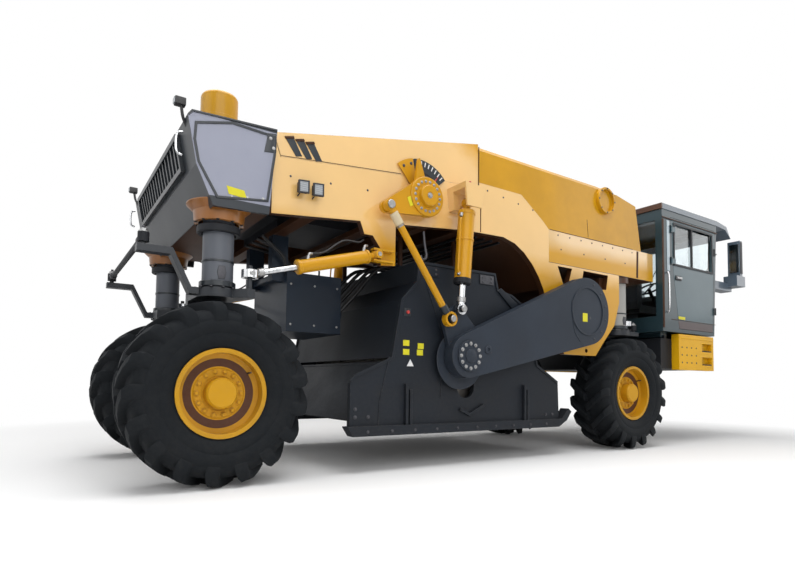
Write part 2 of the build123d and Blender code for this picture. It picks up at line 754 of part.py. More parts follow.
def gauge_scales():
    """The depth scale on each side: a ring sector round the torsion shaft."""
    y_outer = -HULL_HALF_WIDTH - 12 - SEAT_GAP
    y_inner = -HULL_HALF_WIDTH - SEAT_GAP
    plate = across(SHAFT_X, SHAFT_Z, GAUGE_RADIUS, y_outer, y_inner)
    plate -= across(SHAFT_X, SHAFT_Z, GAUGE_RADIUS * 0.5, y_outer - 1, y_inner + 1)
    far = 3 * GAUGE_RADIUS
    sector = [(SHAFT_X, SHAFT_Z)]
    for degrees in (112, 80, 48):
        turn = math.radians(degrees)
        sector.append((SHAFT_X + far * math.cos(turn), SHAFT_Z + far * math.sin(turn)))
    return both(plate & slab(sector, y_outer - 1, y_inner + 1))


def engine():
    """The engine as one plain block in the rear bay."""
    whole = block(620, 1900, -560, 560, 2650, 3080)
    return whole + block(BEARER_X, BEARER_X + 140, -560, 560, BEARER_Z + 60, 2650)


def exhaust_port():
    """The round outlet on each side of the front hood."""
    outer = -HULL_HALF_WIDTH - PORT_REACH
    whole = across(PORT_X, PORT_Z, PORT_RADIUS, outer, -HULL_HALF_WIDTH)
    return whole - across(PORT_X, PORT_Z, PORT_RADIUS - 28, outer - 1, -HULL_HALF_WIDTH - 10)


def pump_unit():
    """The pump and valve block that hangs under the hull behind the drum hood."""
    body = block(900, 1560, -520, 520, 1450, 2100)
    for y in (-380, 380):
        body += block(BEARER_X, 940, y - 60, y + 60, 2000, BEARER_Z - SEAT_GAP)
    for y in (-300, 0, 300):
        body += bar((1560, y, 1700), (1640, y, 1700), 90)
    return body


# Drum arms, drum and hood

def arm():
    """The right drum arm: a tapered plate with a lobe at each end and an ear for the eyes."""
    inner = -ARM_INNER
    outer = -ARM_OUTER
    dx = DRUM_X - PIVOT_X
    dz = DRUM_Z - PIVOT_Z
    length = math.hypot(dx, dz)
    lean = math.atan2(dz, dx)
    spread = math.acos((ARM_PIVOT_LOBE - ARM_DRUM_LOBE) / length)
    corners = []
    for way in (1, -1):
        turn = lean + way * spread
        near = (PIVOT_X + ARM_PIVOT_LOBE * math.cos(turn), PIVOT_Z + ARM_PIVOT_LOBE * math.sin(turn))
        far = (DRUM_X + ARM_DRUM_LOBE * math.cos(turn), DRUM_Z + ARM_DRUM_LOBE * math.sin(turn))
        corners.extend([near, far] if way == 1 else [far, near])
    plate = slab(corners, outer, inner)
    plate += across(PIVOT_X, PIVOT_Z, ARM_PIVOT_LOBE, outer, inner)
    plate += across(DRUM_X, DRUM_Z, ARM_DRUM_LOBE, outer, inner)
    ear_inner = inner
    ear_outer = inner - EAR_THICKNESS
    ear = slab([
        (DRUM_X - 200, DRUM_Z + 60),
        (LINK_EYE_X - 50, LINK_EYE_Z - 20),
        (LINK_EYE_X - 20, LINK_EYE_Z + 55),
        (LIFT_EYE_X - 40, LIFT_EYE_Z + 50),
        (LIFT_EYE_X + 50, LIFT_EYE_Z + 30),
        (DRUM_X + 240, DRUM_Z + 260),
    ], ear_outer, ear_inner)
    plate += ear
    for x, z in ((LIFT_EYE_X, LIFT_EYE_Z), (LINK_EYE_X, LINK_EYE_Z)):
        plate += across(x, z, PIN_RADIUS, -LIFT_PLANE - EYE_WIDTH / 2 - 12, ear_inner)
    flange = across(DRUM_X, DRUM_Z, 170, outer - 22, outer)
    return plate + flange


def arm_axle():
    """The tube across the machine that the two arms swing on."""
    return across(PIVOT_X, PIVOT_Z, PIVOT_TUBE_RADIUS, -ARM_INNER, ARM_INNER)


def drum_shafts():
    """The drum's stub shafts, fixed to the arms and carrying the drum."""
    return across(DRUM_X, DRUM_Z, DRUM_SHAFT_RADIUS, -ARM_INNER, ARM_INNER)


def milling_drum():
    """The drum with its rows of picks wound round it."""
    half = DRUM_HALF_LENGTH
    drum = across(0, 0, DRUM_RADIUS, -half, half)
    teeth = []
    for row in range(PICK_ROWS):
        for step in range(PICK_TURNS):
            y = -half + 60 + (2 * half - 120) * step / (PICK_TURNS - 1)
            turn = 360 * row / PICK_ROWS + 360 * 1.5 * abs(y) / half
            tooth = extrude(Rectangle(62, 44), amount=PICK_HEIGHT + 6, taper=12)
            teeth.append(Pos(0, y, 0) * Rot(0, turn, 0) * Pos(0, 0, DRUM_RADIUS - 6) * Rot(0, 18, 0) * tooth)
    whole = drum + teeth
    whole -= across(0, 0, DRUM_SHAFT_RADIUS + SHAFT_GAP, -half - 1, half + 1)
    return Pos(DRUM_X, 0, DRUM_Z) * whole


REAR_FLAP_PIN = (1745, 1110)
FRONT_FLAP_PIN = (3960, 1075)

HOOD_OUTLINE = [
    (1270, SKID_BOTTOM + 100),
    (1270, 900),
    (1330, 980),
    (1770, 1170),
    (1850, 1600),
    (1880, 1790),
    (2080, 2010),
    (2080, HOOD_TOP),
    (3220, HOOD_TOP),
    (3270, 2040),
    (3510, 1990),
    (3730, 1870),
    (3950, 1150),
    (4330, 940),
    (4350, SKID_BOTTOM + 100),
]


def hood_side():
    """The right side plate of the drum hood, with the slot that the drum's shaft moves in."""
    outer = -HOOD_OUTER
    inner = outer + HOOD_WALL
    plate = slab(HOOD_OUTLINE, outer, inner)
    width = DRUM_SHAFT_RADIUS + 14
    places = [turned(DRUM_X, DRUM_Z, PIVOT_X, PIVOT_Z, ARM_SWING * step / 4) for step in range(5)]
    for x, z in places:
        plate -= across(x, z, width, outer - 1, inner + 1)
    for (x_a, z_a), (x_b, z_b) in zip(places, places[1:]):
        line = math.hypot(x_b - x_a, z_b - z_a)
        nx = (z_b - z_a) / line * width
        nz = -(x_b - x_a) / line * width
        gap = [(x_a + nx, z_a + nz), (x_b + nx, z_b + nz), (x_b - nx, z_b - nz), (x_a - nx, z_a - nz)]
        plate -= slab(gap, outer - 1, inner + 1)
    x_top, z_top = places[0]
    plate -= across(x_top, z_top + HOOD_DROP, width, outer - 1, inner + 1)
    plate -= block(x_top - width, x_top + width, outer - 1, inner + 1, z_top, z_top + HOOD_DROP)
    x_low, z_low = places[-1]
    plate -= across(x_low, z_low + HOOD_DROP, width, outer - 1, inner + 1)
    plate -= block(x_low - width, x_low + width, outer - 1, inner + 1, z_low, z_low + HOOD_DROP)
    for x, z in (REAR_FLAP_PIN, FRONT_FLAP_PIN):
        plate -= across(x, z, FLAP_PIN_RADIUS + SHAFT_GAP, outer + HOOD_WALL / 2 - 1, inner + 1)
    for x in (1980, 3740):
        plate += block(x - 14, x + 14, outer - 45, outer, SKID_BOTTOM + SKID_HEIGHT, 840)
    return plate


def hood_roof():
    """The folded roof of the drum hood between its side plates."""
    inner = HOOD_OUTER - HOOD_WALL
    wall = 40
    outer_line = HOOD_OUTLINE[3:13]
    inner_line = [
        (3950 - wall * 1.05, 1150),
        (3730 - wall * 1.2, 1870 - wall * 0.6),
        (3510 - wall * 0.4, 1990 - wall),
        (3270 - wall * 1.0, 2040 - wall),
        (3220 - wall, HOOD_TOP - wall),
        (2080 + wall, HOOD_TOP - wall),
        (2080 + wall, 2010 - wall * 0.4),
        (1880 + wall, 1790 - wall * 0.4),
        (1850 + wall, 1600),
        (1770 + wall, 1170),
    ]
    whole = slab(outer_line + inner_line, -inner, inner)
    for x in GUIDE_XS:
        for y in (-GUIDE_Y, GUIDE_Y):
            whole += upright(x, y, GUIDE_RADIUS + 22, HOOD_TOP - 5, HOOD_TOP + 70)
            whole -= upright(x, y, GUIDE_RADIUS + SHAFT_GAP, HOOD_TOP - wall - 5, HOOD_TOP + 80)
    return whole


def skid():
    """The right skid under the hood's side plate, turned up at both ends."""
    outline = [
        (1230, SKID_BOTTOM + 90),
        (1290, SKID_BOTTOM),
        (4300, SKID_BOTTOM),
        (4450, SKID_BOTTOM + 80),
        (4540, SKID_BOTTOM + 190),
        (4480, SKID_BOTTOM + 230),
        (4350, SKID_BOTTOM + 100),
        (1270, SKID_BOTTOM + 100),
        (1230, SKID_BOTTOM + 100),
    ]
    return slab(outline, -HOOD_OUTER - 50, -HOOD_OUTER + HOOD_WALL + 20)




def flap(pin, tip):
    """A swinging flap that closes the hood, hung on a pin across the machine."""
    x, z = pin
    tip_x, tip_z = tip
    half = HOOD_OUTER - HOOD_WALL - 8
    line = math.hypot(tip_x - x, tip_z - z)
    ux = (tip_x - x) / line
    uz = (tip_z - z) / line
    nx = -uz * FLAP_THICKNESS / 2
    nz = ux * FLAP_THICKNESS / 2
    outline = [(x + nx, z + nz), (tip_x + nx, tip_z + nz), (tip_x - nx, tip_z - nz), (x - nx, z - nz)]
    whole = slab(outline, -half, half)
    pin_reach = HOOD_OUTER - HOOD_WALL / 2
    return whole + across(x, z, FLAP_PIN_RADIUS, -pin_reach, pin_reach)


# Torsion shaft, levers and links

def torsion_shaft():
    """The shaft across the hull that keeps the two arms level."""
    return across(SHAFT_X, SHAFT_Z, SHAFT_RADIUS, -LEVER_INNER, LEVER_INNER)


def lever():
    """The right lever on the torsion shaft, with its flange, its pin and the depth pointer."""
    inner = -LEVER_INNER
    outer = inner - LEVER_THICKNESS
    plate = across(SHAFT_X, SHAFT_Z, 215, outer, inner)
    reach = math.hypot(LEVER_TIP_X - SHAFT_X, LEVER_TIP_Z - SHAFT_Z)
    ux = (LEVER_TIP_X - SHAFT_X) / reach
    uz = (LEVER_TIP_Z - SHAFT_Z) / reach
    plate += slab([
        (SHAFT_X - uz * 210, SHAFT_Z + ux * 210),
        (LEVER_TIP_X - uz * 60, LEVER_TIP_Z + ux * 60),
        (LEVER_TIP_X + uz * 60, LEVER_TIP_Z - ux * 60),
        (SHAFT_X + uz * 210, SHAFT_Z - ux * 210),
    ], outer, inner)
    plate += across(LEVER_TIP_X, LEVER_TIP_Z, 60, outer, inner)
    plate += across(LEVER_TIP_X, LEVER_TIP_Z, PIN_RADIUS, -LIFT_PLANE - EYE_WIDTH / 2 - 12, outer + 5)
    plate += across(SHAFT_X, SHAFT_Z, 110, outer - 25, outer)
    turn = math.radians(105)
    tip = (SHAFT_X + GAUGE_RADIUS * 0.92 * math.cos(turn), SHAFT_Z + GAUGE_RADIUS * 0.92 * math.sin(turn))
    plate += slab([
        (SHAFT_X - 160, SHAFT_Z + 60), tip, (tip[0] + 14, tip[1]), (SHAFT_X - 20, SHAFT_Z + 190),
    ], outer, inner)
    return plate


def depth_link():
    """The right link from the lever's tip down to the ear of the drum arm."""
    top = (LEVER_TIP_X, -LIFT_PLANE, LEVER_TIP_Z)
    low = (LINK_EYE_X, -LIFT_PLANE, LINK_EYE_Z)
    eye_inner = PIN_RADIUS + LINK_DRIFT
    reach = (Vector(*low) - Vector(*top)).length
    half = EYE_WIDTH / 2
    whole = bar(towards(top, low, PIN_RADIUS + 6),
                towards(top, low, reach - eye_inner - 4), LINK_RADIUS)
    whole = whole & block(0, 9000, -LIFT_PLANE - half, -LIFT_PLANE + half, 0, 9000)
    whole += across(top[0], top[2], PIN_RADIUS + EYE_WALL, top[1] - half, top[1] + half)
    whole += across(low[0], low[2], eye_inner + EYE_WALL, low[1] - half, low[1] + half)
    whole -= across(top[0], top[2], PIN_RADIUS + PIN_GAP, top[1] - half - 1, top[1] + half + 1)
    whole -= across(low[0], low[2], eye_inner, low[1] - half - 1, low[1] + half + 1)
    return whole


# Cab, its platform and steps

CAB_LEFT = CAB_RIGHT + CAB_WIDTH
CAB_TOP_FRONT = CAB_FRONT + CAB_LEAN
RAIL_XS = (6860, 7860)


def front_platform():
    """The platform under the cab, hung from the deck, with the two rails that the cab slides on."""
    whole = block(PLATFORM_REAR, PLATFORM_FRONT, -HULL_HALF_WIDTH, HULL_HALF_WIDTH,
                  PLATFORM_BOTTOM, PLATFORM_TOP)
    whole += block(6400, PLATFORM_REAR, -NECK_HALF_WIDTH, NECK_HALF_WIDTH, 1480, PLATFORM_TOP)
    whole += block(6400, DECK_FRONT, -NECK_HALF_WIDTH, NECK_HALF_WIDTH, 1480, DECK_UNDERSIDE)
    for x in RAIL_XS:
        whole += block(x - RAIL_WIDTH / 2, x + RAIL_WIDTH / 2, -HULL_HALF_WIDTH, HULL_HALF_WIDTH,
                       PLATFORM_TOP, PLATFORM_TOP + RAIL_HEIGHT)
    for y in (-COUPLING_WIDE / 2, COUPLING_WIDE / 2):
        for z in (COUPLING_Z - COUPLING_HIGH / 2, COUPLING_Z + COUPLING_HIGH / 2):
            whole -= bar((PLATFORM_FRONT - 60, y, z), (PLATFORM_FRONT + 1, y, z), COUPLING_HOLE)
    return whole


def step_box():
    """The right step box beside the platform, with two footholds cut in its front half."""
    whole = block(STEP_BOX_REAR, PLATFORM_FRONT, CAB_RIGHT, -HULL_HALF_WIDTH,
                  STEP_BOX_BOTTOM, CAB_FLOOR - 20)
    for z in (1250, 1470):
        whole -= block(7720, 8020, CAB_RIGHT - 1, CAB_RIGHT + 70, z, z + 130)
    return whole


def cab_outline(inset):
    """The cab's side outline, drawn in by an inset."""
    return [
        (CAB_REAR + inset, CAB_FLOOR + inset),
        (CAB_FRONT - inset, CAB_FLOOR + inset),
        (CAB_FRONT + CAB_LEAN * 0.5 - inset, WAIST),
        (CAB_TOP_FRONT - inset, CAB_ROOF - inset),
        (CAB_REAR + inset, CAB_ROOF - inset),
    ]


def cab_front(z):
    """Where the cab's front face lies at a height below the waist."""
    return CAB_FRONT + CAB_LEAN * 0.5 * (z - CAB_FLOOR) / (WAIST - CAB_FLOOR)


def cab_shell():
    """The cab's hollow body with its window and door openings, and the shoes on the rails."""
    whole = slab(cab_outline(0), CAB_RIGHT, CAB_LEFT)
    whole -= slab(cab_outline(CAB_WALL), CAB_RIGHT + CAB_WALL, CAB_LEFT - CAB_WALL)
    whole -= slab(door_outline(0), CAB_RIGHT - 1, CAB_RIGHT + CAB_WALL + 1)
    whole -= slab(left_window(0), CAB_LEFT - CAB_WALL - 1, CAB_LEFT + 1)
    whole -= block(CAB_REAR - 1, CAB_REAR + CAB_WALL + 1, CAB_RIGHT + 110, CAB_LEFT - 110, 1980, 3480)
    whole -= block(CAB_FRONT - 200, CAB_TOP_FRONT + 10, CAB_RIGHT + 110, CAB_LEFT - 110, 2250, 3480)
    for x in RAIL_XS:
        top = CAB_FLOOR + 5
        shoe = block(x - 80, x + 80, CAB_RIGHT + 150, CAB_LEFT - 200, PLATFORM_TOP + 20, top)
        shoe -= block(x - RAIL_WIDTH / 2 - 6, x + RAIL_WIDTH / 2 + 6, CAB_RIGHT, CAB_LEFT,
                      PLATFORM_TOP, PLATFORM_TOP + RAIL_HEIGHT + SEAT_GAP)
        whole += shoe
    y = CAB_RIGHT - HINGE_OUT
    for z in HINGE_HEIGHTS:
        for way in (-1, 1):
            low = z + way * (HINGE_HALF + 10) - 8
            whole += block(HINGE_X - 30, HINGE_X + 12, y - 12, CAB_RIGHT + 5, low, low + 16)
        whole += upright(HINGE_X, y, HINGE_PIN, z - HINGE_HALF - 10, z + HINGE_HALF + 10)
    return whole


def door_outline(inset):
    """The door opening on the right side, narrower at the floor."""
    return [
        (DOOR_REAR + 150 + inset, 1800 + inset),
        (CAB_FRONT - 45 - inset, 1800 + inset),
        (CAB_FRONT + CAB_LEAN * 0.5 - 60 - inset, WAIST),
        (CAB_TOP_FRONT - 75 - inset, 3540 - inset),
        (DOOR_REAR - 60 + inset, 3540 - inset),
        (DOOR_REAR + inset, WAIST - 40),
    ]


def window_outline(inset):
    """The window in the upper half of the door."""
    return [
        (DOOR_REAR + 60 + inset, WAIST + 60 + inset),
        (CAB_FRONT + CAB_LEAN * 0.5 - 120 - inset, WAIST + 60 + inset),
        (CAB_TOP_FRONT - 150 - inset, 3470 - inset),
        (DOOR_REAR + 10 + inset, 3470 - inset),
    ]


def left_window(inset):
    """The window in the cab's left side."""
    return [
        (DOOR_REAR + inset, WAIST + 60 + inset),
        (CAB_FRONT + CAB_LEAN * 0.5 - 120 - inset, WAIST + 60 + inset),
        (CAB_TOP_FRONT - 150 - inset, 3470 - inset),
        (DOOR_REAR + inset, 3470 - inset),
    ]


def cab_door():
    """The door panel with its window cut out, the sliding window's bar and the grab handle."""
    inner = CAB_RIGHT + DOOR_THICKNESS
    whole = slab(door_outline(6), CAB_RIGHT, inner)
    whole -= slab(window_outline(0), CAB_RIGHT - 1, inner + 1)
    y = CAB_RIGHT - HINGE_OUT
    for z in HINGE_HEIGHTS:
        whole += block(HINGE_X, HINGE_X + 100, y - 5, CAB_RIGHT - 2, z - HINGE_HALF, z + HINGE_HALF)
        whole += block(DOOR_REAR, HINGE_X + 100, y - 5, CAB_RIGHT + 1, z - HINGE_HALF, z + HINGE_HALF)
        whole += upright(HINGE_X, y, HINGE_PIN + 7, z - HINGE_HALF, z + HINGE_HALF)
        whole -= upright(HINGE_X, y, HINGE_PIN + SHAFT_GAP, z - HINGE_HALF - 1, z + HINGE_HALF + 1)
    return whole


def door_glass():
    """The pane in the door."""
    middle = CAB_RIGHT + DOOR_THICKNESS / 2
    return slab(window_outline(0), middle - GLASS_THICKNESS / 2, middle + GLASS_THICKNESS / 2)


def cab_glass():
    """The fixed panes: rear, front and left."""
    half = GLASS_THICKNESS / 2
    rear_x = CAB_REAR + CAB_WALL / 2
    rear = block(rear_x - half, rear_x + half, CAB_RIGHT + 110, CAB_LEFT - 110, 1980, 3480)
    left_y = CAB_LEFT - CAB_WALL / 2
    left = slab(left_window(0), left_y - half, left_y + half)
    outline = cab_outline(CAB_WALL / 2 - half)
    inner = cab_outline(CAB_WALL / 2 + half)
    front = slab(outline, CAB_RIGHT + 110, CAB_LEFT - 110) - slab(inner, CAB_RIGHT, CAB_LEFT)
    front = front & block(CAB_FRONT - 100, CAB_TOP_FRONT + 50, CAB_RIGHT, CAB_LEFT, 2250, 3480)
    return Part() + [rear, left, front]


def cab_roof():
    """The roof, which reaches forward as a visor."""
    base = CAB_ROOF + SEAT_GAP
    outline = [
        (CAB_REAR - 20, base),
        (CAB_TOP_FRONT + 40, base),
        (CAB_TOP_FRONT + VISOR_REACH * 0.6, base - 20),
        (CAB_TOP_FRONT + VISOR_REACH, base - 150),
        (CAB_TOP_FRONT + VISOR_REACH - 30, base - 120),
        (CAB_TOP_FRONT + VISOR_REACH * 0.7, base + 40),
        (CAB_TOP_FRONT, base + 85),
        (CAB_REAR - 20, base + 85),
    ]
    return slab(outline, CAB_RIGHT - 10, CAB_LEFT + 10)


def seat():
    """The driver's seat on its pedestal."""
    y = (CAB_RIGHT + CAB_LEFT) / 2
    floor = CAB_FLOOR + CAB_WALL + SEAT_GAP
    whole = block(7080, 7480, y - 170, y + 170, floor, floor + 330)
    whole += block(7000, 7560, y - 260, y + 260, floor + 330, floor + 460)
    whole += block(6960, 7090, y - 250, y + 250, floor + 400, floor + 1120)
    return whole


def console():
    """The dashboard with its column and steering wheel."""
    y = (CAB_RIGHT + CAB_LEFT) / 2
    floor = CAB_FLOOR + CAB_WALL + SEAT_GAP
    whole = slab([
        (7930, floor), (8050, floor), (8060, floor + 640), (7860, floor + 720), (7830, floor + 640),
    ], y - 420, y + 420)
    hub = (7700, y, floor + 830)
    whole += bar((7900, y, floor + 560), hub, 30)
    ring = Torus(190, 16)
    whole += Plane(origin=hub, z_dir=(-0.7, 0, 1)) * ring
    whole += Plane(origin=hub, z_dir=(-0.7, 0, 1)) * Box(380, 30, 16)
    return whole


def mirrors():
    """The mirror and lamp carriers at the cab's front corners."""
    carriers = []
    for y, way in ((CAB_RIGHT + 90, RIGHT), (CAB_LEFT - 90, LEFT)):
        arm_bar = slab([
            (cab_front(2560) + SEAT_GAP, 2560), (cab_front(2700) + SEAT_GAP, 2700),
            (MIRROR_TIP_X - 160, 2700), (MIRROR_TIP_X - 160, 2560),
        ], y - 90, y + 90)
        head_y = y + way * 130
        arm_bar += block(MIRROR_TIP_X - 290, MIRROR_TIP_X, head_y - 110, head_y + 110, 2640, 2820)
        arm_bar += block(MIRROR_TIP_X - 150, MIRROR_TIP_X - 70, head_y - 100, head_y + 100, 2820, 3440)
        carriers.append(arm_bar)
    return Part() + carriers


def main():
    os.makedirs("parts", exist_ok=True)
    for end, x in (("rear", 0), ("front", WHEELBASE)):
        for name, side in SIDES:
            save(tyre(x, side), f"tyre_{end}_{name}")
            save(rim(x, side), f"rim_{end}_{name}")
    for name, side in SIDES:
        save(rear_leg(side), f"leg_rear_{name}")
        save(front_leg(side), f"leg_front_{name}")
    save(tie_rod(-REAR_ARM_REACH, ARM_TOP + REAR_ARM_RISE), "tie_rod_rear")
    save(tie_rod(WHEELBASE + FRONT_ARM_REACH, ARM_TOP), "tie_rod_front")

    side_piece = frame_side() + shaft_boss() + lift_bracket() + steer_bracket()
    hood_piece = hood_side() + skid()
    steer_barrel = barrel(REAR_STEER_PIN, REAR_STEER_EYE, UP, STEER_BARREL_RADIUS,
                          STEER_ROD_RADIUS, STEER_BARREL_LENGTH, STEER_PIN_RADIUS, EYE_WIDTH)
    steer_rod = piston_rod(REAR_STEER_PIN, REAR_STEER_EYE, UP, STEER_ROD_RADIUS, 320,
                           STEER_PIN_RADIUS + STEER_DRIFT, EYE_WIDTH)
    lift_barrel = barrel(LIFT_PIN, LIFT_EYE, ACROSS, LIFT_BARREL_RADIUS, LIFT_ROD_RADIUS,
                         LIFT_BARREL_LENGTH, PIN_RADIUS, EYE_WIDTH)
    lift_rod = piston_rod(LIFT_PIN, LIFT_EYE, ACROSS, LIFT_ROD_RADIUS, 180,
                          PIN_RADIUS + 6, EYE_WIDTH)
    handed = {
        "frame_side": side_piece,
        "drum_arm": arm(),
        "hood_side": hood_piece,
        "lift_barrel": lift_barrel,
        "lift_rod": lift_rod,
        "depth_link": depth_link(),
        "steer_barrel_rear": steer_barrel,
        "steer_rod_rear": steer_rod,
    }
    for base, piece in handed.items():
        save(piece, f"{base}_right")
        save(mirror(piece, about=Plane.XZ), f"{base}_left")

    save(barrel(FRONT_STEER_PIN, FRONT_STEER_EYE, UP, STEER_BARREL_RADIUS * 0.8, STEER_ROD_RADIUS,
                FRONT_BARREL_LENGTH, STEER_PIN_RADIUS, EYE_WIDTH), "steer_barrel_front")
    save(piston_rod(FRONT_STEER_PIN, FRONT_STEER_EYE, UP, STEER_ROD_RADIUS, FRONT_ROD_START,
                    STEER_PIN_RADIUS + STEER_DRIFT, EYE_WIDTH), "steer_rod_front")

    save(rear_beam(), "rear_beam")
    save(front_deck(), "front_deck")
    save(frame_beams(), "frame_beams")
    save(both(step_box()), "step_boxes")
    save(front_hood() + exhaust_port() + mirror(exhaust_port(), about=Plane.XZ), "front_hood")
    save(rear_hood(), "rear_hood")
    save(rear_shroud(), "rear_shroud")
    save(radiator_grille(), "radiator_grille")
    save(intake_cap(), "intake_cap")
    save(work_lamps(), "work_lamps")
    save(gauge_scales(), "gauge_scales")
    save(engine(), "engine")
    save(pump_unit(), "pump_unit")

    save(Part() + [arm_axle(), drum_shafts()], "arm_tubes")
    save(milling_drum(), "milling_drum")
    save(hood_roof(), "hood_roof")
    save(flap(REAR_FLAP_PIN, (1330, 520)), "rear_flap")
    save(flap(FRONT_FLAP_PIN, (4290, 520)), "front_flap")
    levers = lever()
    save(torsion_shaft() + levers + mirror(levers, about=Plane.XZ), "torsion_shaft")

    save(front_platform(), "front_platform")
    save(cab_shell(), "cab_shell")
    save(cab_roof(), "cab_roof")
    save(cab_glass(), "cab_glass")
    save(cab_door(), "cab_door")
    save(door_glass(), "door_glass")
    save(seat(), "seat")
    save(console(), "console")
    save(mirrors(), "mirrors")


main()
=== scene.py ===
"""Looks of a four-wheeled cold recycler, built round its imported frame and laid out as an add-on."""
import math

import bmesh
import bpy
from bpy.props import FloatProperty, FloatVectorProperty, IntProperty, PointerProperty
from mathutils import Matrix, Vector


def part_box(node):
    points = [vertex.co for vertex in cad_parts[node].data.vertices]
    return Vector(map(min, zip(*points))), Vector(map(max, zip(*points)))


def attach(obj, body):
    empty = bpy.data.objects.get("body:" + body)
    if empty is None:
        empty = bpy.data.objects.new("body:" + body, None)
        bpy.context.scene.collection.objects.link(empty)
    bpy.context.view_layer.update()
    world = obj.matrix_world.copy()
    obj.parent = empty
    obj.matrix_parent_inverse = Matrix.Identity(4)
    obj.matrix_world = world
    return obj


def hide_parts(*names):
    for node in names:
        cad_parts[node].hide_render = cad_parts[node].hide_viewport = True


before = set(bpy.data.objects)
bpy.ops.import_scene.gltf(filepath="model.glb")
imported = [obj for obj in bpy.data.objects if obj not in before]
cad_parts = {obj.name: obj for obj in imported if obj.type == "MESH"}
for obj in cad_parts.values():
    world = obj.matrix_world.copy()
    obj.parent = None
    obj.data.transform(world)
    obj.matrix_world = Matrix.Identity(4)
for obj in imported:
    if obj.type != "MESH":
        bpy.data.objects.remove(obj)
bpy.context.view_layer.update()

bl_info = {
    "name": "Cold Recycler",
    "version": (1, 0, 0),
    "blender": (4, 5, 0),
    "location": "3D View > Sidebar > Recycler",
    "description": "Dresses the frame of a four-wheeled cold recycler",
    "category": "Object",
}

RIGHT = -1
LEFT = 1
SIDES = (("right", RIGHT), ("left", LEFT))

# The rear axle lies this far behind the origin, which is under the machine's middle
MIDDLE = 4.05

# Where the photograph was taken from, in metres and degrees, and its lens in pixels
PHOTO_WIDTH = 795
PHOTO_HEIGHT = 572
CAMERA_PLACE = (-5.3783, -6.0634, 0.9125)
CAMERA_YAW = 33.57
CAMERA_PITCH = 3.08
CAMERA_ROLL = 0.71
FOCAL_PIXELS = 544.66
CENTRE_LINE = 353.04
SENSOR_WIDTH = 36.0
VIEW_REACH = 300.0


# Shader trees

class Net:
    """Adds nodes to one tree and joins their sockets."""

    def __init__(self, tree):
        self.tree = tree

    def add(self, kind, inputs=None, **settings):
        node = self.tree.nodes.new(kind)
        for name, value in settings.items():
            setattr(node, name, value)
        return self.fill(node, inputs or {})

    def fill(self, node, inputs):
        """Gives a node's inputs plain values, or joins them to other sockets."""
        for name, value in inputs.items():
            if isinstance(value, bpy.types.NodeSocket):
                self.tree.links.new(value, node.inputs[name])
            else:
                node.inputs[name].default_value = value
        return node

    def math(self, operation, first, second=0.0, clamp=False):
        node = self.add("ShaderNodeMath", {0: first, 1: second}, operation=operation, use_clamp=clamp)
        return node.outputs[0]

    def blend(self, mask, low, high):
        node = self.add("ShaderNodeMix", {"Factor": mask}, data_type="RGBA")
        for socket, value in ((node.inputs[6], low), (node.inputs[7], high)):
            if isinstance(value, bpy.types.NodeSocket):
                self.tree.links.new(value, socket)
            else:
                socket.default_value = (*value, 1.0)
        return node.outputs[2]

    def ramp(self, value, low, high):
        return self.add("ShaderNodeMapRange", {"Value": value, "From Min": low, "From Max": high}).outputs[0]

    def under(self, value, limit, soft):
        """1 where the value is under the limit and 0 above it."""
        return self.ramp(value, self.math("ADD", limit, soft), self.math("SUBTRACT", limit, soft))

    def noise(self, place, scale, detail=3.0, roughness=0.55):
        return self.add("ShaderNodeTexNoise", {
            "Vector": place, "Scale": scale, "Detail": detail, "Roughness": roughness}).outputs[0]

    def distance(self, one, two):
        """How far apart two points are, each given by its three values."""
        ends = [self.add("ShaderNodeCombineXYZ", dict(enumerate(point))).outputs[0] for point in (one, two)]
        node = self.add("ShaderNodeVectorMath", {0: ends[0], 1: ends[1]}, operation="DISTANCE")
        return node.outputs["Value"]


def new_group(name, inputs, outputs):
    """An empty shader group with named float inputs and typed outputs."""
    tree = bpy.data.node_groups.new(name, "ShaderNodeTree")
    for label, value in inputs:
        socket = tree.interface.new_socket(name=label, in_out="INPUT", socket_type="NodeSocketFloat")
        socket.default_value = value
    for label, kind in outputs:
        tree.interface.new_socket(name=label, in_out="OUTPUT", socket_type=kind)
    net = Net(tree)
    return net, net.add("NodeGroupInput"), net.add("NodeGroupOutput")


def weather_group():
    """Masks for road dust that settles low down, and for patchy streaks that run downwards."""
    net, inlet, outlet = new_group("weather", (("Height", 1.6), ("Patch Scale", 2.2)), (
        ("Dust", "NodeSocketFloat"), ("Streaks", "NodeSocketFloat"), ("Patches", "NodeSocketFloat")))
    place = net.add("ShaderNodeTexCoord").outputs["Object"]
    height = net.add("ShaderNodeSeparateXYZ", {0: place}).outputs["Z"]
    low = net.math("SUBTRACT", 1.0, net.math("DIVIDE", height, inlet.outputs["Height"]), clamp=True)
    patches = net.noise(place, inlet.outputs["Patch Scale"], 5.0, 0.6)
    fine = net.noise(place, 26.0, 4.0, 0.65)
    mixed = net.math("MULTIPLY", patches, fine)
    dust = net.math("MULTIPLY", low, net.ramp(mixed, 0.12, 0.42), clamp=True)
    stretched = net.add("ShaderNodeMapping", {"Vector": place, "Scale": (4.2, 4.2, 0.42)}).outputs[0]
    runs = net.ramp(net.noise(stretched, 1.0, 4.0, 0.6), 0.56, 0.85)
    streaks = net.math("MULTIPLY", runs, net.ramp(patches, 0.42, 0.66))
    net.fill(outlet, {"Dust": dust, "Streaks": streaks, "Patches": patches})
    return net.tree


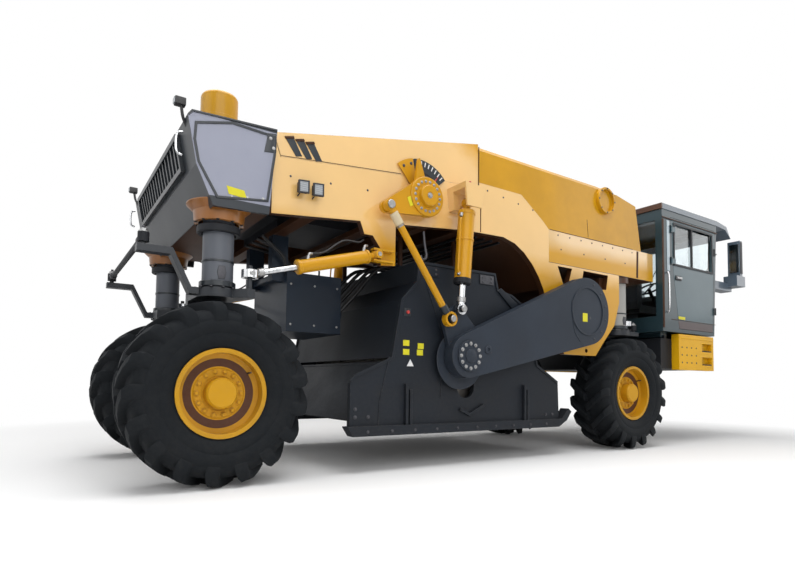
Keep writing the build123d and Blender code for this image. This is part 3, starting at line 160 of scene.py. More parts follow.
def edge_group():
    """A mask for the edges of a piece, worn unevenly, and a normal that rounds them."""
    net, inlet, outlet = new_group("edges", (("Radius", 0.006), ("Grain", 30.0)), (
        ("Mask", "NodeSocketFloat"), ("Normal", "NodeSocketVector")))
    rounded = net.add("ShaderNodeBevel", {"Radius": inlet.outputs["Radius"]}, samples=4).outputs[0]
    flat = net.add("ShaderNodeNewGeometry").outputs["Normal"]
    facing = net.add("ShaderNodeVectorMath", {0: rounded, 1: flat}, operation="DOT_PRODUCT").outputs["Value"]
    place = net.add("ShaderNodeTexCoord").outputs["Object"]
    grain = net.noise(place, inlet.outputs["Grain"], 4.0, 0.6)
    bent = net.ramp(facing, 0.985, 0.86)
    mask = net.math("MULTIPLY", bent, net.ramp(grain, 0.42, 0.60), clamp=True)
    net.fill(outlet, {"Mask": mask, "Normal": rounded})
    return net.tree


# Parts of a piece that are painted another colour, some of them painted shade and painted reflection, and the
# values that set each of them
ZONE_VALUES = {
    "below": ("Height",),
    "above": ("Height",),
    "inside": ("Reach",),
    "behind": ("Length",),
    "column": ("Length", "Reach", "Radius", "Height"),
    "hub": ("Length", "Height", "Radius"),
    "sheen_slope": ("Along", "Up", "Start", "End", "Blotch"),
}
ZONE_SOFT = 0.001
FACE_SOFT = 0.0003


def zone_group(kind):
    """A mask for one part of a piece: lengths run from the rear axle and heights from the ground."""
    inputs = [(label, 0.0) for label in ZONE_VALUES[kind]]
    net, inlet, outlet = new_group(kind, inputs, (("Mask", "NodeSocketFloat"),))
    value = inlet.outputs
    place = net.add("ShaderNodeTexCoord").outputs["Object"]
    axes = net.add("ShaderNodeSeparateXYZ", {0: place}).outputs
    length = net.math("ADD", axes["X"], MIDDLE)
    reach = net.math("ABSOLUTE", axes["Y"])
    height = axes["Z"]
    if kind == "below":
        mask = net.under(height, value["Height"], ZONE_SOFT)
    elif kind == "above":
        mask = net.under(height, value["Height"], -ZONE_SOFT)
    elif kind == "inside":
        mask = net.under(reach, value["Reach"], FACE_SOFT)
    elif kind == "behind":
        mask = net.under(length, value["Length"], ZONE_SOFT)
    elif kind == "column":
        far = net.distance((length, reach, 0.0), (value["Length"], value["Reach"], 0.0))
        over = net.ramp(height, value["Height"], net.math("ADD", value["Height"], 2 * ZONE_SOFT))
        mask = net.math("MULTIPLY", net.under(far, value["Radius"], ZONE_SOFT), over)
    elif kind == "hub":
        far = net.distance((length, 0.0, height), (value["Length"], 0.0, value["Height"]))
        mask = net.under(far, value["Radius"], ZONE_SOFT)
    else:
        # The sheen slope: a tilted band with a noisy edge where the painted reflection on the hull's sides
        # gives way to the deeper yellow
        along = net.math("MULTIPLY", length, value["Along"])
        up = net.math("MULTIPLY", height, value["Up"])
        blotch = net.math("MULTIPLY", net.noise(place, 2.6, 4.0, 0.6), value["Blotch"])
        total = net.math("ADD", net.math("ADD", along, up), blotch)
        mask = net.ramp(total, value["Start"], value["End"])
    net.fill(outlet, {"Mask": mask})
    return net.tree


GROUPS = {}


def group_node(net, name, values):
    """Places one of the shared groups with its own values."""
    if name not in GROUPS:
        makers = {"weather": weather_group, "edges": edge_group}
        GROUPS[name] = makers[name]() if name in makers else zone_group(name)
    return net.add("ShaderNodeGroup", values, node_tree=GROUPS[name])


def start_material(name):
    """A material with its Principled shader, its tree helper and its object coordinates."""
    material = bpy.data.materials.new(name)
    material.use_nodes = True
    material.node_tree.nodes.clear()
    net = Net(material.node_tree)
    shader = net.add("ShaderNodeBsdfPrincipled")
    net.add("ShaderNodeOutputMaterial", {0: shader.outputs[0]})
    place = net.add("ShaderNodeTexCoord").outputs["Object"]
    return material, net, shader, place


def add_bump(net, shader, height, strength, depth, normal=None):
    """Small relief on a shader, on top of the rounded edges where it is given them."""
    inputs = {"Height": height, "Strength": strength, "Distance": depth}
    if normal is not None:
        inputs["Normal"] = normal
    net.fill(shader, {"Normal": net.add("ShaderNodeBump", inputs).outputs[0]})


def shaded(colour, amount):
    """The same colour with less light in it, or with more."""
    return tuple(part * amount for part in colour)


# Finishes

DUST = (0.36, 0.32, 0.27)
BARE_METAL = (0.20, 0.19, 0.18)
# Dark brown of seams and beams, also used as painted shade under the deck, in the side plates' recesses and
# on the arch liner
BROWN = (0.060, 0.022, 0.008)
# Painted shade in the deep dish of each rim
DISH_SHADE_BROWN = (0.075, 0.024, 0.008)
SHROUD_BLACK = (0.014, 0.019, 0.025)
DUST_HEIGHT = 1.7
EDGE_WEAR = 0.30
GRIME = 0.12


def paint(name, base, shade=None, rough=0.34, coat=0.35, dust=0.22, coat_index=1.5, zones=(), wave=0.35,
          shine=0.4, zone_coat=0.06):
    """Sprayed machine paint: slow waves, faint patches, dust low down, streaks and worn edges."""
    shade = shade or shaded(base, 0.8)
    material, net, shader, place = start_material(f"{name}_paint")
    weather = group_node(net, "weather", {"Height": DUST_HEIGHT, "Patch Scale": 1.7})
    edges = group_node(net, "edges", {"Radius": 0.007, "Grain": 24.0})
    patches = weather.outputs["Patches"]
    colour = net.blend(net.ramp(patches, 0.30, 0.75), base, shade)
    # Zones paint parts of a piece another colour: some are the piece's own colours, some are painted shade in
    # the rims' dishes, recesses and undersides, and the sheen slope ends the painted reflection on the hull's
    # sides
    for (kind, *sizes), zone_colour in zones:
        part = group_node(net, kind, dict(zip(ZONE_VALUES[kind], sizes))).outputs["Mask"]
        colour = net.blend(part, colour, zone_colour)
        keep = net.math("SUBTRACT", 1.0, net.math("MULTIPLY", part, 1.0 - zone_coat))
        coat = net.math("MULTIPLY", keep, coat)
    colour = net.blend(net.math("MULTIPLY", weather.outputs["Streaks"], GRIME), colour, shaded(shade, 0.55))
    colour = net.blend(net.math("MULTIPLY", edges.outputs["Mask"], EDGE_WEAR), colour, BARE_METAL)
    colour = net.blend(net.math("MULTIPLY", weather.outputs["Dust"], dust), colour, DUST)
    roughness = net.math("ADD", rough, net.math("MULTIPLY", weather.outputs["Dust"], 0.35 * (dust > 0)))
    roughness = net.math("ADD", roughness, net.math("MULTIPLY", patches, 0.08))
    clean = net.math("SUBTRACT", 1.0, weather.outputs["Dust"], clamp=True)
    net.fill(shader, {
        "Base Color": colour, "Roughness": roughness, "Coat Weight": net.math("MULTIPLY", clean, coat),
        "Coat Roughness": 0.08, "Coat IOR": coat_index, "Specular IOR Level": shine})
    peel = net.math("MULTIPLY", net.noise(place, 240.0, 2.0, 0.5), 0.02)
    relief = net.math("ADD", net.noise(place, 1.6, 2.0, 0.4), peel)
    add_bump(net, shader, relief, wave, 0.012, edges.outputs["Normal"])
    return material


def rubber(name, base, shade, tread_dust):
    """Tyre rubber: matt black with fine grain, and dust that stays in its recesses."""
    material, net, shader, place = start_material(name)
    weather = group_node(net, "weather", {"Height": 2.6, "Patch Scale": 3.5})
    edges = group_node(net, "edges", {"Radius": 0.010, "Grain": 16.0})
    colour = net.blend(weather.outputs["Patches"], base, shade)
    colour = net.blend(net.math("MULTIPLY", edges.outputs["Mask"], 0.55), colour, (0.030, 0.032, 0.036))
    dusty = net.math("MULTIPLY", weather.outputs["Dust"], tread_dust)
    colour = net.blend(dusty, colour, (0.10, 0.095, 0.085))
    roughness = net.math("ADD", 0.56, net.math("MULTIPLY", weather.outputs["Patches"], 0.25))
    net.fill(shader, {"Base Color": colour, "Roughness": roughness, "Specular IOR Level": 0.12})
    add_bump(net, shader, net.noise(place, 90.0, 5.0, 0.65), 0.4, 0.004, edges.outputs["Normal"])
    return material


def bare_steel(name, base, rough=0.30, metallic=0.92, stretch=(46.0, 46.0, 1.2), oil=0.35):
    """Machined or worn steel: drawn marks along one way, and oily patches."""
    material, net, shader, place = start_material(name)
    weather = group_node(net, "weather", {"Height": 1.4, "Patch Scale": 3.0})
    edges = group_node(net, "edges", {"Radius": 0.004, "Grain": 40.0})
    along = net.add("ShaderNodeMapping", {"Vector": place, "Scale": stretch}).outputs[0]
    marks = net.noise(along, 1.0, 4.0, 0.6)
    tone = net.ramp(marks, 0.32, 0.72)
    colour = net.blend(tone, shaded(base, 0.62), base)
    oily = net.math("MULTIPLY", weather.outputs["Streaks"], oil)
    colour = net.blend(oily, colour, (0.06, 0.055, 0.05))
    roughness = net.math("ADD", rough, net.math("MULTIPLY", tone, 0.14))
    net.fill(shader, {"Base Color": colour, "Roughness": roughness, "Metallic": metallic})
    add_bump(net, shader, marks, 0.25, 0.002, edges.outputs["Normal"])
    return material


def plastic(name, base, rough=0.5, grain=320.0, strength=0.3):
    """Moulded plastic or hose rubber with a fine leather-like grain."""
    material, net, shader, place = start_material(name)
    edges = group_node(net, "edges", {"Radius": 0.004, "Grain": 60.0})
    patches = net.noise(place, 6.0, 3.0, 0.5)
    colour = net.blend(patches, base, shaded(base, 1.5))
    colour = net.blend(net.math("MULTIPLY", edges.outputs["Mask"], 0.25), colour, (0.14, 0.14, 0.14))
    roughness = net.math("ADD", rough, net.math("MULTIPLY", patches, 0.12))
    net.fill(shader, {"Base Color": colour, "Roughness": roughness})
    add_bump(net, shader, net.noise(place, grain, 2.0, 0.5), strength, 0.001, edges.outputs["Normal"])
    return material


def glass(name, tint, rough=0.02):
    """Tinted cab glass with a breath of dust."""
    material, net, shader, place = start_material(name)
    patches = net.noise(place, 3.0, 4.0, 0.6)
    colour = net.blend(net.ramp(patches, 0.35, 0.8), tint, shaded(tint, 0.86))
    roughness = net.math("ADD", rough, net.math("MULTIPLY", patches, 0.03))
    net.fill(shader, {"Base Color": colour, "Roughness": roughness, "Transmission Weight": 1.0, "IOR": 1.45})
    return material


def fabric(name, base):
    """Woven seat cloth."""
    material, net, shader, place = start_material(name)
    weave = net.add("ShaderNodeTexWave", {"Vector": place, "Scale": 120.0, "Distortion": 2.0}).outputs[1]
    colour = net.blend(weave, base, shaded(base, 1.8))
    net.fill(shader, {"Base Color": colour, "Roughness": 0.9, "Sheen Weight": 0.3})
    add_bump(net, shader, weave, 0.4, 0.002)
    return material


def paints(look):
    """Each paint's values; the main colours come from the panel."""
    yellow = tuple(look.yellow)
    deep = tuple(look.deep_yellow)
    # pale: the hull's yellow with a painted reflection in it
    pale = tuple(look.sheen_pale_yellow)
    dark = tuple(look.arm_grey)
    hull_gloss = {"coat": 1.0, "dust": 0.0, "wave": 0.12}
    leg = {"base": (0.026, 0.030, 0.036), "shade": (0.018, 0.021, 0.026), "rough": 0.40, "coat": 0.10,
           "dust": 0.10, "shine": 0.3}
    return {
        "deep_yellow": {"base": deep, "shade": shaded(deep, 0.84), "coat": 0.12, "dust": 0.08, "shine": 0.25},
        "front_cover": {"base": yellow, "shade": shaded(yellow, 0.78), "coat": 0.22, "dust": 0.0,
                        "shine": 0.25},
        # Each rim's disc: a brown ring of painted shade where the real dish is deep, and the yellow hub
        # inside it
        "rim_yellow": {"base": yellow, "coat": 0.15, "dust": 0.10, "shine": 0.25, "zones": (
            (("hub", 0.0, 0.80, 0.302), DISH_SHADE_BROWN), (("hub", 5.87, 0.80, 0.302), DISH_SHADE_BROWN),
            (("hub", 0.0, 0.80, 0.232), yellow), (("hub", 5.87, 0.80, 0.232), yellow))},
        # Hull, deck and side plates: their pale base is a painted reflection on the yellow paint, and the
        # sheen slope turns it to the plain deeper yellow where the reflection ends; the deck's copy is a
        # little darker
        "hull": {"base": pale, "shade": shaded(pale, 0.93), "coat_index": 1.8, **hull_gloss, "zones": (
            (("sheen_slope", 0.62, 0.78, 4.62, 4.92, 0.35), deep),)},
        # The deck's underside, below 2.506 m, is painted shade in brown
        "deck": {"base": shaded(pale, 0.86), "shade": shaded(pale, 0.80), "coat_index": 1.8, **hull_gloss,
                 "zones": ((("sheen_slope", 0.0, -1.0, -2.78, -2.58, 0.10), yellow), (("below", 2.506), BROWN))},
        # The side plates' faces set in from the outer face, inside the recesses, are painted shade in brown
        "side_plate": {"base": pale, "shade": shaded(pale, 0.93), "coat_index": 1.7, **hull_gloss, "zones": (
            (("sheen_slope", 0.0, -1.0, -2.50, -2.22, 0.16), yellow), (("inside", 1.2985), BROWN))},
        "arm_grey": {"base": dark, "shade": shaded(dark, 0.72), "rough": 0.44, "coat": 0.0, "dust": 0.10,
                     "shine": 0.22},
        "hood_grey": {"base": shaded(dark, 0.50), "shade": shaded(dark, 0.36), "rough": 0.46, "coat": 0.0,
                      "dust": 0.06, "shine": 0.2},
        "step_yellow": {"base": (0.80, 0.43, 0.006), "shade": (0.70, 0.37, 0.005), "coat": 0.0, "dust": 0.0,
                        "shine": 0.25},
        "shroud_black": {"base": SHROUD_BLACK, "shade": (0.010, 0.014, 0.018), "rough": 0.30, "coat": 0.15,
                         "dust": 0.0},
        # The shroud's own colour is the near-black of its top, inner and lower faces; the grey-lilac of its
        # side face is a painted reflection of the bright surroundings
        "shroud_panel": {"base": (0.265, 0.28, 0.355), "shade": (0.235, 0.25, 0.325), "rough": 0.36,
                         "dust": 0.0, "zones": (
                             (("inside", 1.4085), SHROUD_BLACK), (("above", 3.158), SHROUD_BLACK),
                             (("below", 2.475), SHROUD_BLACK))},
        "rear_leg": {**leg, "zones": ((("column", 0.0, 1.12, 0.137, 1.725), (0.11, 0.12, 0.14)),)},
        "front_leg": {**leg, "zones": ((("column", 5.87, 1.12, 0.137, 1.725), (0.36, 0.35, 0.33)),)},
        "under_black": {"base": (0.016, 0.018, 0.022), "shade": (0.011, 0.012, 0.015), "rough": 0.5,
                        "coat": 0.0, "dust": 0.06, "shine": 0.2},
        "tank": {"base": (0.010, 0.020, 0.036), "shade": (0.007, 0.014, 0.026), "rough": 0.4, "coat": 0.1,
                 "dust": 0.04, "shine": 0.25},
        "cab_teal": {"base": (0.020, 0.042, 0.052), "shade": (0.016, 0.034, 0.042), "rough": 0.28,
                     "coat": 0.2, "dust": 0.05, "shine": 0.35},
        "door_teal": {"base": (0.046, 0.090, 0.108), "shade": (0.038, 0.076, 0.092), "rough": 0.30,
                      "coat": 0.2, "dust": 0.05, "zones": ((("below", 1.93), (0.060, 0.038, 0.038)),)},
        "roof_blue": {"base": (0.085, 0.115, 0.150), "shade": (0.070, 0.096, 0.126), "rough": 0.30,
                      "coat": 0.5, "dust": 0.0, "zones": ((("behind", 6.606), BROWN),)},
        "hull_brown": {"base": BROWN, "shade": shaded(BROWN, 0.7), "rough": 0.5, "coat": 0.0, "dust": 0.0,
                       "shine": 0.2},
        "collar_orange": {"base": (0.34, 0.13, 0.022), "shade": (0.22, 0.08, 0.016), "coat": 0.3},
        "post_blue": {"base": (0.42, 0.50, 0.55), "shade": (0.34, 0.42, 0.47), "rough": 0.3, "coat": 0.4,
                      "dust": 0.0},
        "cream": {"base": (0.66, 0.55, 0.36), "shade": (0.56, 0.46, 0.30), "coat": 0.3, "dust": 0.0},
        "white": {"base": (0.80, 0.80, 0.80), "shade": (0.72, 0.72, 0.72), "coat": 0.3, "dust": 0.0},
        "plate_yellow": {"base": (0.72, 0.66, 0.03), "shade": (0.66, 0.60, 0.03), "coat": 0.0, "dust": 0.0,
                         "shine": 0.2},
        "red": {"base": (0.55, 0.035, 0.030), "shade": (0.42, 0.025, 0.022), "coat": 0.4, "dust": 0.0},
    }


FINISHES = {}


def finish(name):
    """One of the machine's finishes, made when it is first asked for."""
    if name in FINISHES:
        return FINISHES[name]
    look = bpy.context.scene.recycler_paint
    others = {
        "tyre": lambda: rubber("tyre_rubber", (0.006, 0.008, 0.010), (0.010, 0.012, 0.015), look.tyre_dust),
        "rod_chrome": lambda: bare_steel("rod_chrome", (0.72, 0.73, 0.75), rough=0.12, metallic=1.0, oil=0.1),
        "worn_steel": lambda: bare_steel("worn_steel", (0.28, 0.26, 0.24), rough=0.45, stretch=(3, 30, 3)),
        "bolt_steel": lambda: bare_steel("bolt_steel", (0.42, 0.42, 0.42), rough=0.35, stretch=(30, 30, 30)),
        "dark_bolt": lambda: bare_steel("dark_bolt", (0.10, 0.10, 0.11), rough=0.45, stretch=(30, 30, 30)),
        "mirror": lambda: bare_steel("mirror_face", (0.50, 0.55, 0.60), rough=0.06, metallic=1.0, oil=0.0),
        "black_plastic": lambda: plastic("black_plastic", (0.014, 0.015, 0.018)),
        "hose": lambda: plastic("hose_rubber", (0.008, 0.008, 0.009), rough=0.42, grain=180.0),
        "lamp_lens": lambda: plastic("lamp_lens", (0.30, 0.32, 0.34), rough=0.18, grain=90.0, strength=0.5),
        "window": lambda: glass("window_glass", (0.86, 0.92, 0.94)),
        "seat": lambda: fabric("seat_cloth", (0.030, 0.031, 0.035)),
    }
    FINISHES[name] = others[name]() if name in others else paint(name, **paints(look)[name])
    return FINISHES[name]


def both(*names):
    """The right and the left node of each name."""
    return tuple(f"{name}_{side}" for name in names for side, _ in SIDES)


NODE_FINISH = (
    ("front_cover", ("front_hood", "intake_cap")),
    ("deep_yellow", ("torsion_shaft", *both("depth_link", "lift_barrel", "steer_barrel_rear"))),
    ("step_yellow", ("step_boxes",)),
    ("rim_yellow", both("rim_rear", "rim_front")),
    ("side_plate", both("frame_side")),
    ("hull", ("rear_hood",)),
    ("deck", ("front_deck",)),
    ("arm_grey", both("drum_arm")),
    ("hood_grey", (*both("hood_side"), "hood_roof", "rear_flap", "front_flap")),
    ("shroud_panel", ("rear_shroud",)),
    ("shroud_black", ("radiator_grille",)),
    ("rear_leg", both("leg_rear")),
    ("front_leg", both("leg_front")),
    ("under_black", ("tie_rod_rear", "tie_rod_front", "steer_barrel_front", "engine", "front_platform")),
    ("tank", ("pump_unit",)),
    ("hull_brown", ("rear_beam", "frame_beams")),
    ("tyre", both("tyre_rear", "tyre_front")),
    ("rod_chrome", (*both("lift_rod", "steer_rod_rear"), "steer_rod_front")),
    ("worn_steel", ("milling_drum", "arm_tubes")),
    ("black_plastic", ("work_lamps", "gauge_scales", "console")),
    ("roof_blue", ("cab_roof", "mirrors")),
    ("cab_teal", ("cab_shell",)),
    ("door_teal", ("cab_door",)),
    ("window", ("cab_glass", "door_glass")),
    ("seat", ("seat",)),
)


class RECYCLER_OT_node_finishes(bpy.types.Operator):
    """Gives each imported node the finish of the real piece"""
    bl_idname = "recycler.node_finishes"
    bl_label = "Finishes of the Frame"

    def execute(self, context):
        for name, nodes in NODE_FINISH:
            for node in nodes:
                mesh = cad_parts[node].data
                mesh.materials.clear()
                mesh.materials.append(finish(name))
        return {"FINISHED"}


# Values a user would change

def colour_value(name, description, default):
    """A colour that the panel shows."""
    return FloatVectorProperty(name=name, description=description, default=default, subtype="COLOR", size=3,
                               min=0.0, max=1.0)


def share_value(name, description, default):
    """A share from none to all that the panel shows."""
    return FloatProperty(name=name, description=description, default=default, subtype="FACTOR",
                         min=0.0, max=1.0)


class RecyclerPaint(bpy.types.PropertyGroup):
    """Colours of the machine's paint, in linear values; the pale yellow is the hull's paint made paler with a
    painted reflection.
    """
    yellow: colour_value("Yellow", "Paint of the covers and rims", (0.60, 0.30, 0.004))
    deep_yellow: colour_value("Deep yellow", "Paint of the levers and cylinders", (0.62, 0.30, 0.005))
    # The hull sides' yellow paint, made paler by a painted reflection of the bright surroundings
    sheen_pale_yellow: colour_value("Pale yellow", "Paint of the hull's flat sides", (0.83, 0.52, 0.18))
    arm_grey: colour_value("Arm grey", "Paint of the drum unit and its arms", (0.022, 0.030, 0.044))
    tyre_dust: share_value("Tyre dust", "How much dust lies in the treads", 0.10)


class RecyclerSizes(bpy.types.PropertyGroup):
    """Counts and bolt sizes."""
    tread_bars: IntProperty(name="Tread bars", description="Bars on each half of a tyre's tread",
                            min=8, max=40, default=17)
    wheel_bolts: IntProperty(name="Wheel bolts", description="Bolts round each rim's disc",
                             min=4, max=30, default=14)
    louvres: IntProperty(name="Louvres", description="Slanted air slots on each side of the lid",
                         min=1, max=4, default=3)
    wheel_bolt_radius: FloatProperty(name="Wheel bolt radius", description="Radius of a wheel bolt's head",
                                     unit="LENGTH", min=0.005, max=0.03, default=0.017)


class RecyclerStage(bpy.types.PropertyGroup):
    """Light on the machine."""
    world_light: share_value("World light", "How strongly the white surroundings light it", 0.20)
    lamp_share: share_value("Lamp share", "Share of the lamps' full power", 1.0)


# Stage

FLOOR_HALF = 60.0
FLOOR_COLOUR = (0.95, 0.95, 0.95, 1.0)
WHITE = (1.0, 1.0, 1.0, 1.0)
FLOOR_GLOW = 0.03
GLOW_START = 5.9
GLOW_END = 9.0

# name, place, the point it looks at, width and height in metres, watts
LAMPS = (
    ("top_lamp", (-2.5, -1.5, 11.0), (0.0, 0.0, 0.0), 12.0, 9.0, 1380.0),
    ("side_lamp", (-5.0, -12.0, 6.5), (0.0, 0.0, 1.5), 12.0, 6.0, 560.0),
    ("rear_lamp", (-13.0, -1.0, 6.0), (0.0, 0.0, 1.5), 8.0, 5.0, 140.0),
    ("front_lamp", (12.0, -6.0, 6.0), (1.0, 0.0, 1.5), 8.0, 6.0, 180.0),
)


def make_camera(scene):
    """The camera at the photograph's place, with its lens, roll and centre line."""
    yaw, pitch, roll = (math.radians(angle) for angle in (CAMERA_YAW, CAMERA_PITCH, CAMERA_ROLL))
    forward = Vector((math.sin(yaw) * math.cos(pitch), math.cos(yaw) * math.cos(pitch), math.sin(pitch)))
    level = Vector((math.cos(yaw), -math.sin(yaw), 0.0))
    up = level.cross(forward)
    right = level * math.cos(roll) + up * math.sin(roll)
    top = up * math.cos(roll) - level * math.sin(roll)
    data = bpy.data.cameras.new("photo_camera")
    data.sensor_width = SENSOR_WIDTH
    data.lens = FOCAL_PIXELS / PHOTO_WIDTH * SENSOR_WIDTH
    data.shift_y = (CENTRE_LINE - PHOTO_HEIGHT / 2) / PHOTO_WIDTH
    data.clip_end = VIEW_REACH
    camera = bpy.data.objects.new("photo_camera", data)
    matrix = Matrix((right, top, -forward)).transposed().to_4x4()
    matrix.translation = Vector(CAMERA_PLACE)
    camera.matrix_world = matrix
    scene.collection.objects.link(camera)
    scene.camera = camera


def make_floor(scene):
    """A wide pale floor that keeps the machine's shadow and turns plain white far from it."""
    mesh = bpy.data.meshes.new("floor")
    corners = [(x * FLOOR_HALF, y * FLOOR_HALF, 0.0) for x, y in ((-1, -1), (1, -1), (1, 1), (-1, 1))]
    mesh.from_pydata(corners, [], [(0, 1, 2, 3)])
    floor = bpy.data.objects.new("floor", mesh)
    scene.collection.objects.link(floor)
    material = bpy.data.materials.new("floor_white")
    material.use_nodes = True
    material.node_tree.nodes.clear()
    net = Net(material.node_tree)
    matt = net.add("ShaderNodeBsdfDiffuse", {"Color": FLOOR_COLOUR})
    white = net.add("ShaderNodeEmission", {"Color": WHITE, "Strength": 1.0})
    seen = net.add("ShaderNodeLightPath").outputs["Is Camera Ray"]
    lift = net.add("ShaderNodeEmission", {"Strength": net.math("MULTIPLY", seen, FLOOR_GLOW)})
    near = net.add("ShaderNodeAddShader", {0: matt.outputs[0], 1: lift.outputs[0]})
    place = net.add("ShaderNodeTexCoord").outputs["Object"]
    far = net.add("ShaderNodeVectorMath", {0: place}, operation="LENGTH").outputs["Value"]
    amount = net.math("MULTIPLY", seen, net.ramp(far, GLOW_START, GLOW_END))
    mixed = net.add("ShaderNodeMixShader", {0: amount, 1: near.outputs[0], 2: white.outputs[0]})
    net.add("ShaderNodeOutputMaterial", {0: mixed.outputs[0]})
    mesh.materials.append(material)


def make_lamps(scene, share):
    """Large soft lamps above and round the machine."""
    for name, place, aim, width, height, watts in LAMPS:
        data = bpy.data.lights.new(name, "AREA")
        data.shape = "RECTANGLE"
        data.size = width
        data.size_y = height
        data.energy = watts * share
        lamp = bpy.data.objects.new(name, data)
        lamp.location = place
        lamp.rotation_euler = (Vector(aim) - Vector(place)).to_track_quat("-Z", "Y").to_euler()
        scene.collection.objects.link(lamp)


def make_world(scene, light):
    """A plain world: white where it is seen, mirrored or looked at through glass."""
    world = bpy.data.worlds.new("white_room")
    world.use_nodes = True
    world.node_tree.nodes.clear()
    net = Net(world.node_tree)
    rays = net.add("ShaderNodeLightPath")
    seen = net.math("MAXIMUM", rays.outputs["Is Camera Ray"], rays.outputs["Is Transmission Ray"])
    seen = net.math("MAXIMUM", seen, rays.outputs["Is Glossy Ray"])
    strength = net.math("ADD", light, net.math("MULTIPLY", seen, 1.0 - light))
    back = net.add("ShaderNodeBackground", {"Color": WHITE, "Strength": strength})
    net.add("ShaderNodeOutputWorld", {0: back.outputs[0]})
    scene.world = world


class RECYCLER_OT_stage(bpy.types.Operator):
    """Makes the floor, the soft lamps, the white surroundings and the camera"""
    bl_idname = "recycler.stage"
    bl_label = "Stage and Camera"

    def execute(self, context):
        scene = context.scene
        scene.view_settings.view_transform = "Standard"
        make_camera(scene)
        make_floor(scene)
        make_lamps(scene, scene.recycler_stage.lamp_share)
        make_world(scene, scene.recycler_stage.world_light)
        return {"FINISHED"}


# Shapes

OUTWARDS = (0.0, 1.0, 0.0)
UPWARDS = (0.0, 0.0, 1.0)
DOWNWARDS = (0.0, 0.0, -1.0)
FORWARDS = (1.0, 0.0, 0.0)
ACROSS = (0.0, 1.0, 0.0)
SHARP_FOLD = 0.5
SHARP_ANGLE = math.radians(35.0)

# How an outline's two values and its depth become a point, for each axis it can face
FACING = {
    "X": lambda u, v, w: (w, u, v),
    "Y": lambda u, v, w: (u, w, v),
    "Z": lambda u, v, w: (u, v, w),
}


def basis(direction):
    """A unit direction and two more across it."""
    along = Vector(direction).normalized()
    guide = Vector((0.0, 0.0, 1.0)) if abs(along.z) < 0.9 else Vector((1.0, 0.0, 0.0))
    one = along.cross(guide).normalized()
    return along, one, along.cross(one)


def smooth_path(points, cuts=5):
    """A curve through the points, cut into short straight steps."""
    ends = [Vector(point) for point in points]
    ends = [ends[0] * 2 - ends[1], *ends, ends[-1] * 2 - ends[-2]]
    path = []
    for a, b, c, d in zip(ends, ends[1:], ends[2:], ends[3:]):
        for cut in range(cuts):
            t = cut / cuts
            path.append(0.5 * (2 * b + (c - a) * t + (2 * a - 5 * b + 4 * c - d) * t * t
                               + (3 * b - a - 3 * c + d) * t ** 3))
    return path + [ends[-2]]


